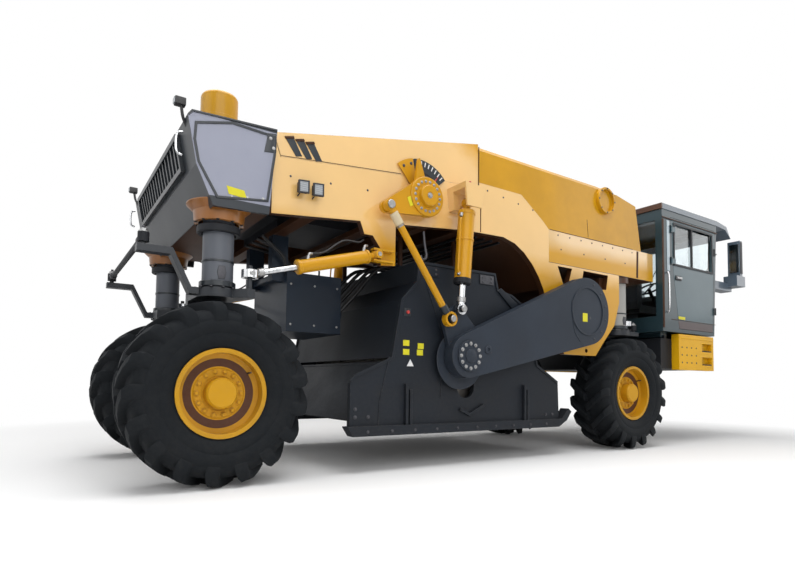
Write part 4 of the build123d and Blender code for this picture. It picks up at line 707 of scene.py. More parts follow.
class Shape:
    """One piece: x from the rear axle, y outwards on its own side and z from the ground, in metres."""

    def __init__(self, side=RIGHT):
        self.side = side
        self.mesh = bmesh.new()
        self.finishes = []
        self.number = 0

    def use(self, name):
        """The finish of what is drawn next."""
        if name not in self.finishes:
            self.finishes.append(name)
        self.number = self.finishes.index(name)
        return self

    def finish(self):
        """The material of what is drawn now."""
        return finish(self.finishes[self.number])

    def spot(self, point):
        x, y, z = point
        return Vector((x - MIDDLE, self.side * y, z))

    def loft(self, rings, bevel=0.0, closed=False):
        """A skin through rings of points, with end faces unless it closes on itself."""
        rows = [[self.mesh.verts.new(self.spot(point)) for point in ring] for ring in rings]
        pairs = list(zip(rows, rows[1:]))
        if closed:
            pairs.append((rows[-1], rows[0]))
        faces = []
        for one, two in pairs:
            for index in range(len(one)):
                after = (index + 1) % len(one)
                faces.append(self.mesh.faces.new((one[index], one[after], two[after], two[index])))
        if not closed:
            faces.append(self.mesh.faces.new(rows[0][::-1]))
            faces.append(self.mesh.faces.new(rows[-1]))
        bmesh.ops.recalc_face_normals(self.mesh, faces=faces)
        for face in faces:
            face.material_index = self.number
        if bevel:
            edges = {edge for face in faces for edge in face.edges if edge.calc_face_angle(0.0) > SHARP_FOLD}
            bmesh.ops.bevel(self.mesh, geom=list(edges), offset=bevel, segments=2, profile=0.7,
                            affect="EDGES", clamp_overlap=True, material=-1)
        return self

    def prism(self, outline, low, high, axis="Y", bevel=0.0):
        """An outline drawn across one axis and carried from low to high along it."""
        return self.loft([[FACING[axis](u, v, w) for u, v in outline] for w in (low, high)], bevel)

    def box(self, x, y, z, bevel=0.0):
        return self.prism([(x[0], z[0]), (x[1], z[0]), (x[1], z[1]), (x[0], z[1])], y[0], y[1], bevel=bevel)

    def turned(self, profile, start, direction, sides=24, closed=False):
        """A turned form: pairs of distance along the direction and radius."""
        along, one, two = basis(direction)
        start = Vector(start)
        rings = []
        for far, radius in profile:
            middle = start + along * far
            rings.append([middle + one * radius * math.cos(turn) + two * radius * math.sin(turn)
                          for turn in (math.tau * index / sides for index in range(sides))])
        return self.loft(rings, closed=closed)

    def rod(self, start, end, radius, sides=20):
        """A round bar from one point to another, with a small chamfer at each end."""
        way = Vector(end) - Vector(start)
        far = way.length
        rim = min(radius, far) * 0.12
        profile = ((0.0, radius - rim), (rim, radius), (far - rim, radius), (far, radius - rim))
        return self.turned(profile, start, way, sides)

    def sleeve(self, start, end, inner, outer, sides=28):
        """A short tube between two points."""
        way = Vector(end) - Vector(start)
        far = way.length
        rim = (outer - inner) * 0.2
        profile = ((0.0, inner), (0.0, outer - rim), (rim, outer), (far - rim, outer), (far, outer - rim),
                   (far, inner))
        return self.turned(profile, start, way, sides, closed=True)

    def tube(self, points, radius, sides=12):
        """A bent tube or hose through the points."""
        path = smooth_path(points)
        rings = []
        side = None
        for index, point in enumerate(path):
            along = (path[min(index + 1, len(path) - 1)] - path[max(index - 1, 0)]).normalized()
            if side is None:
                side = basis(along)[1]
            side = (side - along * side.dot(along)).normalized()
            other = along.cross(side)
            rings.append([point + side * radius * math.cos(turn) + other * radius * math.sin(turn)
                          for turn in (math.tau * part / sides for part in range(sides))])
        return self.loft(rings)

    def strip(self, points, width, low, high, axis="Y", closed=False, bevel=0.0):
        """A flat band of even width along a bent line, mitred at its corners."""
        spots = [Vector(point) for point in points]
        count = len(spots)
        place = FACING[axis]
        rings = []
        for index, spot in enumerate(spots):
            before = spots[index - 1] if index or closed else None
            after = spots[(index + 1) % count] if index < count - 1 or closed else None
            pairs = ((before, spot), (spot, after))
            ways = [(b - a).normalized() for a, b in pairs if a is not None and b is not None]
            across = sum((Vector((-way.y, way.x)) for way in ways), Vector((0.0, 0.0))).normalized()
            reach = width / 2 / max(0.5, across.dot(Vector((-ways[0].y, ways[0].x))))
            one = spot + across * reach
            two = spot - across * reach
            rings.append([place(one.x, one.y, low), place(two.x, two.y, low),
                          place(two.x, two.y, high), place(one.x, one.y, high)])
        return self.loft(rings, bevel, closed)

    def take(self, mesh):
        """Adds a ready mesh that is already in the row's frame."""
        before = len(self.mesh.faces)
        self.mesh.from_mesh(mesh)
        self.mesh.faces.ensure_lookup_table()
        for face in self.mesh.faces[before:]:
            face.material_index = self.number
        bpy.data.meshes.remove(mesh)
        return self

    def bolts(self, points, facing, radius=0.014, height=0.012):
        """Hexagonal bolt heads on washers at the points, all facing one way."""
        facing = Vector((facing[0], self.side * facing[1], facing[2]))
        cloud = bpy.data.meshes.new("bolt_places")
        cloud.from_pydata([self.spot(point) for point in points], [], [])
        return self.take(grown("bolts", bolt_tree(), cloud, {
            "Radius": radius, "Height": height, "Facing": facing, "Finish": self.finish()}))

    def ring(self, form, count, centre):
        """Another Shape's form repeated evenly round a line across the machine."""
        mesh = bpy.data.meshes.new("ring_form")
        form.mesh.to_mesh(mesh)
        form.mesh.free()
        return self.take(grown("ring", ring_tree(), mesh, {
            "Count": count, "Centre": self.spot(centre), "Line": Vector(ACROSS), "Step": math.tau / count,
            "Finish": self.finish()}))

    def done(self, name, body, slot, stands_for=()):
        """Makes the object, gives it its finishes and lets it ride on its body."""
        data = bpy.data.meshes.new(name)
        self.mesh.to_mesh(data)
        self.mesh.free()
        for label in self.finishes:
            data.materials.append(finish(label))
        data.shade_smooth()
        data.set_sharp_from_angle(angle=SHARP_ANGLE)
        piece = bpy.data.objects.new(name, data)
        bpy.context.scene.collection.objects.link(piece)
        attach(piece, body)
        if stands_for:
            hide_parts(*stands_for)
        return piece


def level_circle(x, out, z, radius, count):
    """Points evenly round a level circle."""
    turns = [math.tau * part / count for part in range(count)]
    return [(x + radius * math.cos(turn), out + radius * math.sin(turn), z) for turn in turns]


def circle_spots(x, out, z, radius, count, start=0.0, end=360.0):
    """Points evenly round a circle in the machine's side."""
    full = abs(end - start) >= 359.9
    share = (end - start) / (count if full else max(count - 1, 1))
    spots = []
    for index in range(count):
        turn = math.radians(start + share * index)
        spots.append((x + radius * math.cos(turn), out, z + radius * math.sin(turn)))
    return spots


# Repeats grown with Geometry Nodes

TREES = {}


def new_tree(name, inputs):
    """An empty Geometry Nodes tree with a geometry in and out and named values."""
    tree = bpy.data.node_groups.new(name, "GeometryNodeTree")
    tree.interface.new_socket(name="Geometry", in_out="INPUT", socket_type="NodeSocketGeometry")
    for label, kind in inputs:
        tree.interface.new_socket(name=label, in_out="INPUT", socket_type=kind)
    tree.interface.new_socket(name="Geometry", in_out="OUTPUT", socket_type="NodeSocketGeometry")
    net = Net(tree)
    return net, net.add("NodeGroupInput").outputs, net.add("NodeGroupOutput").inputs


def end_tree(net, instances, material, outlet):
    """Every tree ends alike: real meshes with their material."""
    real = net.add("GeometryNodeRealizeInstances", {0: instances}).outputs[0]
    painted = net.add("GeometryNodeSetMaterial", {"Geometry": real, "Material": material}).outputs[0]
    net.tree.links.new(painted, outlet["Geometry"])
    return net.tree


def bolt_tree():
    """A washer and a hexagonal head at each point."""
    if "bolts" in TREES:
        return TREES["bolts"]
    net, inlet, outlet = new_tree("bolt_heads", (
        ("Radius", "NodeSocketFloat"), ("Height", "NodeSocketFloat"), ("Facing", "NodeSocketVector"),
        ("Finish", "NodeSocketMaterial")))
    washer_depth = net.math("MULTIPLY", inlet["Height"], 0.3)
    washer = net.add("GeometryNodeMeshCylinder", {
        "Vertices": 16, "Radius": net.math("MULTIPLY", inlet["Radius"], 1.4), "Depth": washer_depth})
    head = net.add("GeometryNodeMeshCylinder", {
        "Vertices": 6, "Radius": inlet["Radius"], "Depth": inlet["Height"]})
    joined = net.add("GeometryNodeJoinGeometry")
    for form, share in ((washer, 0.15), (head, 0.5)):
        lift = net.add("ShaderNodeCombineXYZ", {"Z": net.math("MULTIPLY", inlet["Height"], share)}).outputs[0]
        moved = net.add("GeometryNodeTransform", {"Geometry": form.outputs["Mesh"], "Translation": lift})
        net.tree.links.new(moved.outputs[0], joined.inputs[0])
    turned = net.add("FunctionNodeAlignRotationToVector", {"Vector": inlet["Facing"]}, axis="Z").outputs[0]
    placed = net.add("GeometryNodeInstanceOnPoints", {
        "Points": inlet["Geometry"], "Instance": joined.outputs[0], "Rotation": turned}).outputs[0]
    TREES["bolts"] = end_tree(net, placed, inlet["Finish"], outlet)
    return TREES["bolts"]


def ring_tree():
    """One form repeated round a line through a centre."""
    if "ring" in TREES:
        return TREES["ring"]
    net, inlet, outlet = new_tree("ring_of_forms", (
        ("Count", "NodeSocketInt"), ("Centre", "NodeSocketVector"), ("Line", "NodeSocketVector"),
        ("Step", "NodeSocketFloat"), ("Finish", "NodeSocketMaterial")))
    back = net.add("ShaderNodeVectorMath", {0: inlet["Centre"], 1: (-1.0, -1.0, -1.0)}, operation="MULTIPLY")
    form = net.add("GeometryNodeTransform", {"Geometry": inlet["Geometry"], "Translation": back.outputs[0]})
    points = net.add("GeometryNodePoints", {"Count": inlet["Count"], "Position": inlet["Centre"]})
    index = net.add("GeometryNodeInputIndex").outputs[0]
    turn = net.add("FunctionNodeAxisAngleToRotation", {
        "Axis": inlet["Line"], "Angle": net.math("MULTIPLY", index, inlet["Step"])})
    placed = net.add("GeometryNodeInstanceOnPoints", {
        "Points": points.outputs[0], "Instance": form.outputs[0], "Rotation": turn.outputs[0]}).outputs[0]
    TREES["ring"] = end_tree(net, placed, inlet["Finish"], outlet)
    return TREES["ring"]


def grown(name, tree, mesh, values):
    """A mesh as a tree grows it, with no modifier left on anything."""
    holder = bpy.data.objects.new(name, mesh)
    bpy.context.scene.collection.objects.link(holder)
    modifier = holder.modifiers.new(name, "NODES")
    modifier.node_group = tree
    sockets = {item.name: item.identifier for item in tree.interface.items_tree if item.in_out == "INPUT"}
    for label, value in values.items():
        modifier[sockets[label]] = tuple(value) if isinstance(value, Vector) else value
    holder.update_tag()
    bpy.context.view_layer.update()
    graph = bpy.context.evaluated_depsgraph_get()
    result = bpy.data.meshes.new_from_object(holder.evaluated_get(graph))
    bpy.data.objects.remove(holder)
    bpy.data.meshes.remove(mesh)
    return result


# Tyres and rims

AXLES = {"rear": 0.0, "front": 5.87}
WHEEL_OUT = 1.15
AXLE_HEIGHT = 0.80
LUG_LEAN = math.tan(math.radians(40.0)) / AXLE_HEIGHT
CARCASS_PARTS = 96

# distance from the tyre's middle plane and radius, from the tread down to the bead
CARCASS = ((0.0, 0.732), (0.12, 0.729), (0.20, 0.718), (0.248, 0.698), (0.276, 0.664), (0.286, 0.630),
           (0.284, 0.622), (0.289, 0.612), (0.290, 0.57), (0.284, 0.520), (0.278, 0.512), (0.281, 0.500),
           (0.262, 0.44), (0.240, 0.405), (0.228, 0.392), (0.228, 0.386))

# crest out and radius, root out and radius, half width
LUG_STATIONS = ((0.004, 0.800, 0.004, 0.715, 0.047), (0.110, 0.799, 0.105, 0.712, 0.047),
                (0.200, 0.793, 0.190, 0.704, 0.048), (0.262, 0.778, 0.235, 0.690, 0.050),
                (0.290, 0.745, 0.255, 0.672, 0.052), (0.300, 0.700, 0.268, 0.655, 0.055),
                (0.299, 0.655, 0.275, 0.628, 0.054), (0.290, 0.618, 0.270, 0.610, 0.050))

# depth below the crest and share of the half width
LUG_SECTION = ((0.0, 0.80), (0.14, 1.0), (1.0, 1.12), (1.0, -1.12), (0.14, -1.0), (0.0, -0.80))


def wheel_spot(axle, out, radius, turn):
    """A point on a wheel, outwards from its middle plane and round its axle from the top."""
    return (axle + radius * math.sin(turn), WHEEL_OUT + out, AXLE_HEIGHT + radius * math.cos(turn))


def lug_form(side, axle, way, start):
    """One tread bar, from the middle of the tread down over the shoulder."""
    rings = []
    for crest_out, crest, root_out, root, half in LUG_STATIONS:
        ring = []
        for depth, spread in LUG_SECTION:
            out = crest_out + (root_out - crest_out) * depth
            radius = crest + (root - crest) * depth
            ring.append(wheel_spot(axle, way * out, radius, start + out * LUG_LEAN + spread * half / crest))
        rings.append(ring)
    return Shape(side).loft(rings)


def make_tyre(end, name, side, bars):
    """A tyre with two rows of leaning tread bars, half a pitch apart."""
    axle = AXLES[end]
    profile = [*CARCASS, *((-out, radius) for out, radius in reversed(CARCASS[1:]))]
    turns = [math.tau * part / CARCASS_PARTS for part in range(CARCASS_PARTS)]
    rings = [[wheel_spot(axle, out, radius, turn) for out, radius in profile] for turn in turns]
    tyre = Shape(side).use("tyre").loft(rings, closed=True)
    for way, start in ((1, 0.0), (-1, math.pi / bars)):
        tyre.ring(lug_form(side, axle, way, start), bars, (axle, WHEEL_OUT, AXLE_HEIGHT))
    tyre.done(f"tyre_{end}_{name}_tread", f"{end}_wheel_{name}", "tyre_rubber", (f"tyre_{end}_{name}",))


class RECYCLER_OT_tyres(bpy.types.Operator):
    """Makes the four tyres with their shaped tread bars"""
    bl_idname = "recycler.tyres"
    bl_label = "Tyres"

    def execute(self, context):
        for end in AXLES:
            for name, side in SIDES:
                make_tyre(end, name, side, context.scene.recycler_sizes.tread_bars)
        return {"FINISHED"}


# inner and outer radius
LOCK_RING = (0.352, 0.372)
HUB_RING = (0.150, 0.228)
HUB_RING_BACK = WHEEL_OUT + 0.095
HUB_RING_FACE = WHEEL_OUT + 0.128
WHEEL_BOLT_CIRCLE = 0.190
WHEEL_BOLT_HEIGHT = 0.020
VALVE_RADIUS = 0.008


def make_rim_fittings(end, name, side, sizes):
    """The lock ring, the ring with the wheel bolts, and the valve."""
    axle = AXLES[end]
    edge = max(abs(corner[1]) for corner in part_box(f"rim_{end}_{name}"))
    fitting = Shape(side).use("rim_yellow")
    fitting.sleeve((axle, edge - 0.028, AXLE_HEIGHT), (axle, edge - 0.010, AXLE_HEIGHT), *LOCK_RING, 72)
    fitting.sleeve((axle, HUB_RING_BACK, AXLE_HEIGHT), (axle, HUB_RING_FACE, AXLE_HEIGHT), *HUB_RING, 64)
    spots = circle_spots(axle, HUB_RING_FACE, AXLE_HEIGHT, WHEEL_BOLT_CIRCLE, sizes.wheel_bolts)
    fitting.bolts(spots, OUTWARDS, sizes.wheel_bolt_radius, WHEEL_BOLT_HEIGHT)
    fitting.use("dark_bolt")
    fitting.tube([(axle + 0.24, WHEEL_OUT + 0.10, AXLE_HEIGHT + 0.17), (axle + 0.25, 1.30, 0.978),
                  (axle + 0.255, 1.345, 0.982)], VALVE_RADIUS, 8)
    fitting.done(f"rim_fittings_{end}_{name}", f"{end}_wheel_{name}", "yellow_paint")


class RECYCLER_OT_rim_fittings(bpy.types.Operator):
    """Adds the wheel bolts, lock rings and valves"""
    bl_idname = "recycler.rim_fittings"
    bl_label = "Rim Fittings"

    def execute(self, context):
        for end in AXLES:
            for name, side in SIDES:
                make_rim_fittings(end, name, side, context.scene.recycler_sizes)
        return {"FINISHED"}


# Rear shroud

SHROUD_FACE = 1.410
PANEL_EDGE = ((-0.292, 3.065), (0.012, 3.144), (0.398, 3.120), (0.398, 2.960), (0.340, 2.520),
              (-0.100, 2.470), (-0.262, 2.740), (-0.299, 2.921))
TOP_BAND = ((-0.355, 3.118), (-0.326, 3.158), (0.415, 3.186))
CATCH_PLATE = ((0.300, 2.960), (0.412, 2.975), (0.412, 3.150), (0.330, 3.140))
SHROUD_PLATE = ((-0.025, 2.585), (0.130, 2.570), (0.155, 2.500), (-0.005, 2.515))
SHROUD_HANDLE = ((-0.375, 1.31, 2.80), (-0.415, 1.31, 2.82), (-0.425, 1.31, 2.90), (-0.415, 1.31, 2.98),
                 (-0.375, 1.31, 3.00))
LEG_OUT = 1.12
# height and radius, up the inside of the flared collar
COLLAR = ((0.0, 0.176), (0.0, 0.215), (0.10, 0.225), (0.155, 0.285), (0.165, 0.285), (0.165, 0.176))
COLLAR_FOOT = 2.310
STALK_FOOT = (-0.345, 1.30, 3.10)
CAP_X = 0.03
CAP_OUT = -0.9


def make_shroud_trim(name, side):
    """The dark bands round the shroud's panel, its catch, handle and bolts."""
    trim = Shape(side).use("shroud_black")
    trim.strip(PANEL_EDGE, 0.022, SHROUD_FACE - 0.002, SHROUD_FACE + 0.007, closed=True, bevel=0.002)
    trim.strip(TOP_BAND, 0.016, SHROUD_FACE - 0.006, SHROUD_FACE + 0.009)
    trim.prism(CATCH_PLATE, SHROUD_FACE - 0.005, SHROUD_FACE + 0.006, bevel=0.004)
    trim.use("plate_yellow").prism(SHROUD_PLATE, SHROUD_FACE - 0.0005, SHROUD_FACE + 0.0025)
    trim.use("bolt_steel")
    spots = [(x, SHROUD_FACE + 0.006, z) for x, z in ((0.355, 3.095), (0.385, 3.01))]
    trim.bolts(spots, OUTWARDS, 0.011, 0.008)
    trim.bolts([(0.02, SHROUD_FACE, 2.50), (0.16, SHROUD_FACE, 2.515), (0.30, SHROUD_FACE, 2.53)], OUTWARDS,
               0.010, 0.007)
    trim.use("rod_chrome").tube(SHROUD_HANDLE, 0.011, 10)
    trim.done(f"shroud_trim_{name}", "chassis", "dark_metal")


def make_rear_collar(name, side):
    """The flared collar and the gland where a rear leg's column leaves the shroud."""
    collar = Shape(side).use("collar_orange")
    collar.turned(COLLAR, (0.0, LEG_OUT, COLLAR_FOOT), UPWARDS, 40, closed=True)
    collar.use("under_black").sleeve((0.0, LEG_OUT, 2.215), (0.0, LEG_OUT, 2.285), 0.150, 0.190, 40)
    collar.bolts(level_circle(0.0, LEG_OUT, COLLAR_FOOT + 0.002, 0.205, 10), DOWNWARDS, 0.012, 0.010)
    collar.done(f"rear_collar_{name}", "chassis", "brown_paint")


def make_stalk_lamp(name, side):
    """A small lamp on a bent stalk at the shroud's rear corner."""
    x, out, z = STALK_FOOT
    lamp = Shape(side).use("hose")
    lamp.tube([(x + 0.02, out - 0.03, z - 0.05), (x - 0.03, out, z + 0.03), (x - 0.05, out + 0.01, z + 0.13)],
              0.013, 10)
    lamp.box((x - 0.105, x - 0.015), (out - 0.03, out + 0.045), (z + 0.12, z + 0.185), 0.012)
    lamp.use("lamp_lens")
    lamp.box((x - 0.112, x - 0.104), (out - 0.022, out + 0.037), (z + 0.130, z + 0.176), 0.003)
    lamp.done(f"stalk_lamps_{name}", "chassis", "lamp_black")


def make_intake_rings():
    """The band round the intake cap and the flange that holds it."""
    cap = Shape(LEFT).use("front_cover")
    cap.sleeve((CAP_X, CAP_OUT, 3.335), (CAP_X, CAP_OUT, 3.375), 0.165, 0.178, 48)
    cap.use("hull_brown").sleeve((CAP_X, CAP_OUT, 3.176), (CAP_X, CAP_OUT, 3.215), 0.160, 0.200, 48)
    cap.use("bolt_steel").bolts(level_circle(CAP_X, CAP_OUT, 3.215, 0.186, 8), UPWARDS, 0.010, 0.009)
    cap.done("intake_rings", "chassis", "yellow_paint")


class RECYCLER_OT_shroud_fittings(bpy.types.Operator):
    """Adds the rear shroud's bands, collars, handles, lamps and the cap's ring"""
    bl_idname = "recycler.shroud_fittings"
    bl_label = "Shroud Fittings"

    def execute(self, context):
        for name, side in SIDES:
            make_shroud_trim(name, side)
            make_rear_collar(name, side)
            make_stalk_lamp(name, side)
        make_intake_rings()
        return {"FINISHED"}


# Hull

HULL_FACE = 1.300
SUNK = 0.001
LID_SEAM_ENDS = (0.50, 1.85)
LOUVRE_BLADE = ((0.535, 3.200), (0.615, 3.222), (0.710, 3.056), (0.649, 3.040))
LOUVRE_LIP = ((0.530, 3.204), (0.618, 3.228), (0.628, 3.206), (0.541, 3.184))
LOUVRE_PITCH = 0.105
PORT = (5.35, 3.535)
PORT_COVER_FACE = 1.352
SHAFT = (2.09, 2.90)
SCALE_FACE = 1.3125
TICK_START = 46
TICK_STEP = 7
TICK_COUNT = 8
LEVER_FACE = 1.444
# distance outwards from the lever and radius
LEVER_HUB = ((0.0, 0.213), (0.012, 0.213), (0.018, 0.205), (0.018, 0.118), (0.060, 0.112), (0.066, 0.104),
             (0.066, 0.040), (0.058, 0.030))
LEVER_PIN_CAP = ((0.0, 0.044), (0.012, 0.044), (0.018, 0.038), (0.018, 0.014))
LEVER_PLATE = ((1.835, 2.845), (1.895, 2.880), (1.935, 2.790), (1.875, 2.755))
LIFT_PIN_CAP = ((0.0, 0.040), (0.012, 0.040), (0.020, 0.032), (0.020, 0.012))
POINTER_ANGLE = 52
HANGER_ROD = ((2.145, 1.315, 2.560), (2.150, 1.33, 2.42), (2.165, 1.345, 2.30))
HANGER_HOOK = ((2.165, 1.345, 2.30), (2.150, 1.345, 2.255), (2.105, 1.345, 2.245), (2.085, 1.345, 2.285))
LAMP_XS = (0.70, 0.85)
LAMP_RIBS = 5


def sector(inner, outer, start, end, steps=14):
    """A ring sector round the torsion shaft, seen from the side."""
    turns = [math.radians(start + (end - start) * step / steps) for step in range(steps + 1)]
    x, z = SHAFT
    pairs = [(outer, turn) for turn in turns] + [(inner, turn) for turn in reversed(turns)]
    return [(x + radius * math.cos(turn), z + radius * math.sin(turn)) for radius, turn in pairs]


def shaft_ways(degrees):
    """The way out from the torsion shaft at an angle, and the way across it."""
    turn = math.radians(degrees)
    along = Vector((math.cos(turn), math.sin(turn)))
    return along, Vector((-along.y, along.x))


def make_lid_fittings(name, side, louvres):
    """The lid's lower seam and its slanted air slots."""
    lid = Shape(side).use("hull_brown")
    seam = [(x, 2.995 + (x - 0.42) * 0.0966 + 0.012) for x in LID_SEAM_ENDS]
    lid.strip(seam, 0.005, HULL_FACE - SUNK, HULL_FACE + 0.0035)
    for index in range(louvres):
        blade, lip = ([(x + LOUVRE_PITCH * index, z) for x, z in line] for line in (LOUVRE_BLADE, LOUVRE_LIP))
        lid.use("shroud_panel").prism(blade, HULL_FACE - 0.0005, HULL_FACE + 0.006, bevel=0.002)
        lid.use("hull_brown").prism(lip, HULL_FACE, HULL_FACE + 0.012, bevel=0.002)
    lid.done(f"lid_fittings_{name}", "engine_lid", "yellow_paint")


def make_hull_seams(name, side):
    """The seams of the covers, their small bolts and the port's bolted cover."""
    bolt_face = HULL_FACE - 0.0005
    seams = Shape(side).use("hull_brown")
    seams.strip([(2.957, 3.72), (2.957, 3.24), (2.990, 3.10), (2.990, 2.70)], 0.010, HULL_FACE - SUNK,
                HULL_FACE + 0.0045)
    seams.strip([(4.20, 2.935), (6.02, 2.935)], 0.006, HULL_FACE - SUNK, HULL_FACE + 0.003)
    seams.strip([(4.96, 3.20), (4.985, 2.955)], 0.006, HULL_FACE - SUNK, HULL_FACE + 0.0025)
    seams.prism([(6.105, 2.52), (6.150, 2.52), (6.165, 2.92), (6.120, 2.92)], bolt_face, HULL_FACE + 0.0025)
    seams.use("dark_bolt")
    # first bolt, step to the next, count and head height
    rows = (((4.36, 2.885), (0.235, 0.0), 8, 0.006), ((4.42, 2.70), (0.47, 0.0), 4, 0.006),
            ((0.60, 2.84), (0.42, 0.02), 4, 0.005), ((3.10, 3.22), (0.26, -0.03), 4, 0.005))
    for (x, z), (step_x, step_z), count, height in rows:
        spots = [(x + step_x * part, bolt_face, z + step_z * part) for part in range(count)]
        seams.bolts(spots, OUTWARDS, 0.008, height)
    x, z = PORT
    seams.use("front_cover")
    seams.sleeve((x, PORT_COVER_FACE - 0.014, z), (x, PORT_COVER_FACE, z), 0.158, 0.188, 56)
    seams.use("dark_bolt").bolts(circle_spots(x, PORT_COVER_FACE - SUNK, z, 0.173, 8), OUTWARDS, 0.009, 0.006)
    seams.done(f"hull_seams_{name}", "chassis", "yellow_paint")


def make_depth_scale(name, side):
    """The dark sector with white ticks and the yellow sector bolted beside it."""
    scale = Shape(side).use("shroud_black")
    scale.prism(sector(0.318, 0.452, 40, 100), SCALE_FACE, SCALE_FACE + 0.0055)
    scale.use("deep_yellow")
    scale.prism(sector(0.19, 0.455, 103, 131), SCALE_FACE, SCALE_FACE + 0.0075, bevel=0.002)
    scale.use("white")
    for part in range(TICK_COUNT):
        along, across = shaft_ways(TICK_START + TICK_STEP * part)
        near = Vector(SHAFT) + along * 0.385
        far = Vector(SHAFT) + along * 0.438
        half = across * 0.006
        tick = [near - half, far - half, far + half, near + half]
        scale.prism(tick, SCALE_FACE + 0.005, SCALE_FACE + 0.008)
    spots = circle_spots(SHAFT[0], SCALE_FACE + 0.0075, SHAFT[1], 0.40, 2, 108, 123)
    scale.use("dark_bolt").bolts(spots, OUTWARDS, 0.012, 0.009)
    scale.done(f"depth_scale_{name}", "chassis", "scale_plate")


def make_lever_fittings(name, side):
    """The lever's bolted hub, its red pointer and the cap of its pin."""
    x, z = SHAFT
    lever = Shape(side).use("deep_yellow").turned(LEVER_HUB, (x, LEVER_FACE, z), OUTWARDS, 64)
    lever.use("bolt_steel").bolts(circle_spots(x, LEVER_FACE + 0.018, z, 0.162, 18), OUTWARDS, 0.011, 0.010)
    lever.bolts([(x, LEVER_FACE + 0.058, z)], OUTWARDS, 0.022, 0.014)
    along, across = shaft_ways(POINTER_ANGLE)
    root = Vector(SHAFT) + along * 0.205
    tip = Vector(SHAFT) + along * 0.40
    heel = root - along * 0.06
    lever.use("red").prism([root - across * 0.022, tip, root + across * 0.022], 1.3235, 1.330)
    lever.prism([root - across * 0.022, root + across * 0.022, heel + across * 0.015, heel - across * 0.015],
                1.3235, LEVER_FACE)
    lever.use("plate_yellow").prism(LEVER_PLATE, LEVER_FACE + 0.0005, LEVER_FACE + 0.0035)
    lever.use("bolt_steel").turned(LEVER_PIN_CAP, (LINK[0][0], 1.536, LINK[0][1]), OUTWARDS, 32)
    lever.done(f"lever_fittings_{name}", "torsion_levers", "yellow_paint")


def make_bracket_fittings(name, side):
    """The caps and nuts of the cylinder pins and the hanger beside them."""
    fitting = Shape(side).use("bolt_steel")
    fitting.turned(LIFT_PIN_CAP, (LIFT[0][0], 1.596, LIFT[0][1]), OUTWARDS, 32)
    fitting.use("red").rod((2.605, 1.55, 3.110), (2.605, 1.55, 3.150), 0.014)
    fitting.use("dark_bolt").tube(HANGER_ROD, 0.014, 10).tube(HANGER_HOOK, 0.016, 10)
    x, z = STEER[0]
    fitting.use("deep_yellow").sleeve((x, 1.398, z), (x, 1.414, z), 0.020, 0.044, 28)
    fitting.use("bolt_steel").bolts([(x, 1.402, z)], OUTWARDS, 0.024, 0.018)
    fitting.done(f"bracket_fittings_{name}", "chassis", "yellow_paint")


def make_lamp_fronts(name, side):
    """The frames, ribbed lenses and cables of the two work lamps."""
    lamps = Shape(side)
    for x in LAMP_XS:
        lamps.use("black_plastic")
        lamps.strip([(x - 0.048, 2.676), (x + 0.048, 2.684), (x + 0.048, 2.794), (x - 0.048, 2.786)], 0.014,
                    1.372, 1.397, closed=True, bevel=0.003)
        lamps.use("lamp_lens")
        lamps.prism([(x - 0.041, 2.684), (x + 0.041, 2.690), (x + 0.041, 2.787), (x - 0.041, 2.780)], 1.384,
                    1.3925, bevel=0.002)
        for part in range(LAMP_RIBS):
            z = 2.697 + 0.019 * part
            lamps.box((x - 0.039, x + 0.039), (1.3915, 1.3955), (z, z + 0.006))
        lamps.use("hose").tube([(x, 1.31, 2.735), (x - 0.01, 1.33, 2.70), (x - 0.03, 1.308, 2.66)], 0.006, 8)
    lamps.done(f"lamp_fronts_{name}", "chassis", "lamp_black")


class RECYCLER_OT_hull_fittings(bpy.types.Operator):
    """Adds the hull's seams, louvres, lamps, depth scale, bolts and hooks"""
    bl_idname = "recycler.hull_fittings"
    bl_label = "Hull Fittings"

    def execute(self, context):
        for name, side in SIDES:
            make_lid_fittings(name, side, context.scene.recycler_sizes.louvres)
            make_hull_seams(name, side)
            make_depth_scale(name, side)
            make_lever_fittings(name, side)
            make_bracket_fittings(name, side)
            make_lamp_fronts(name, side)
        return {"FINISHED"}


# Cylinders and links

# the two pins' places seen from the side, and how far out the line between them runs
LIFT = ((2.61, 2.92), (2.52, 1.72), 1.50)
LINK = ((1.58, 2.70), (2.37, 1.60), 1.50)
STEER = ((1.53, 2.21), (0.225, 1.855), 1.331)
STEER_ROD = (*STEER[:2], 1.3345)
GLAND_BOLT_CIRCLE = 0.07
LIFT_PIPE = ((2.482, 1.555, 2.72), (2.462, 1.562, 2.66), (2.446, 1.562, 2.40), (2.434, 1.560, 2.16),
             (2.452, 1.555, 2.10))
UNION_PLACES = (0.17, 0.80)
BALL_JOINTS = (("rear", -0.62, 2.146), ("front", 6.29, 1.826))
TIE_RODS = (("rear", -0.62, 2.105), ("front", 6.29, 1.785))
TIE_ROD_RADIUS = 0.026
# the oval slot's outline on the column: along and height
COLUMN_SLOT = ((-0.028, 1.80), (0.028, 1.80), (0.040, 1.86), (0.028, 1.92), (-0.028, 1.92), (-0.040, 1.86))


def between(line, far, out=None):
    """A point on a cylinder's or link's own line, so far from its upper pin."""
    start, end = (Vector(pin) for pin in line[:2])
    spot = start + (end - start).normalized() * far
    return (spot.x, line[2] if out is None else out, spot.y)


def collar(shape, line, near, far, inner, outer, sides=28):
    """A sleeve round a cylinder or link between two distances from its upper pin."""
    return shape.sleeve(between(line, near), between(line, far), inner, outer, sides)


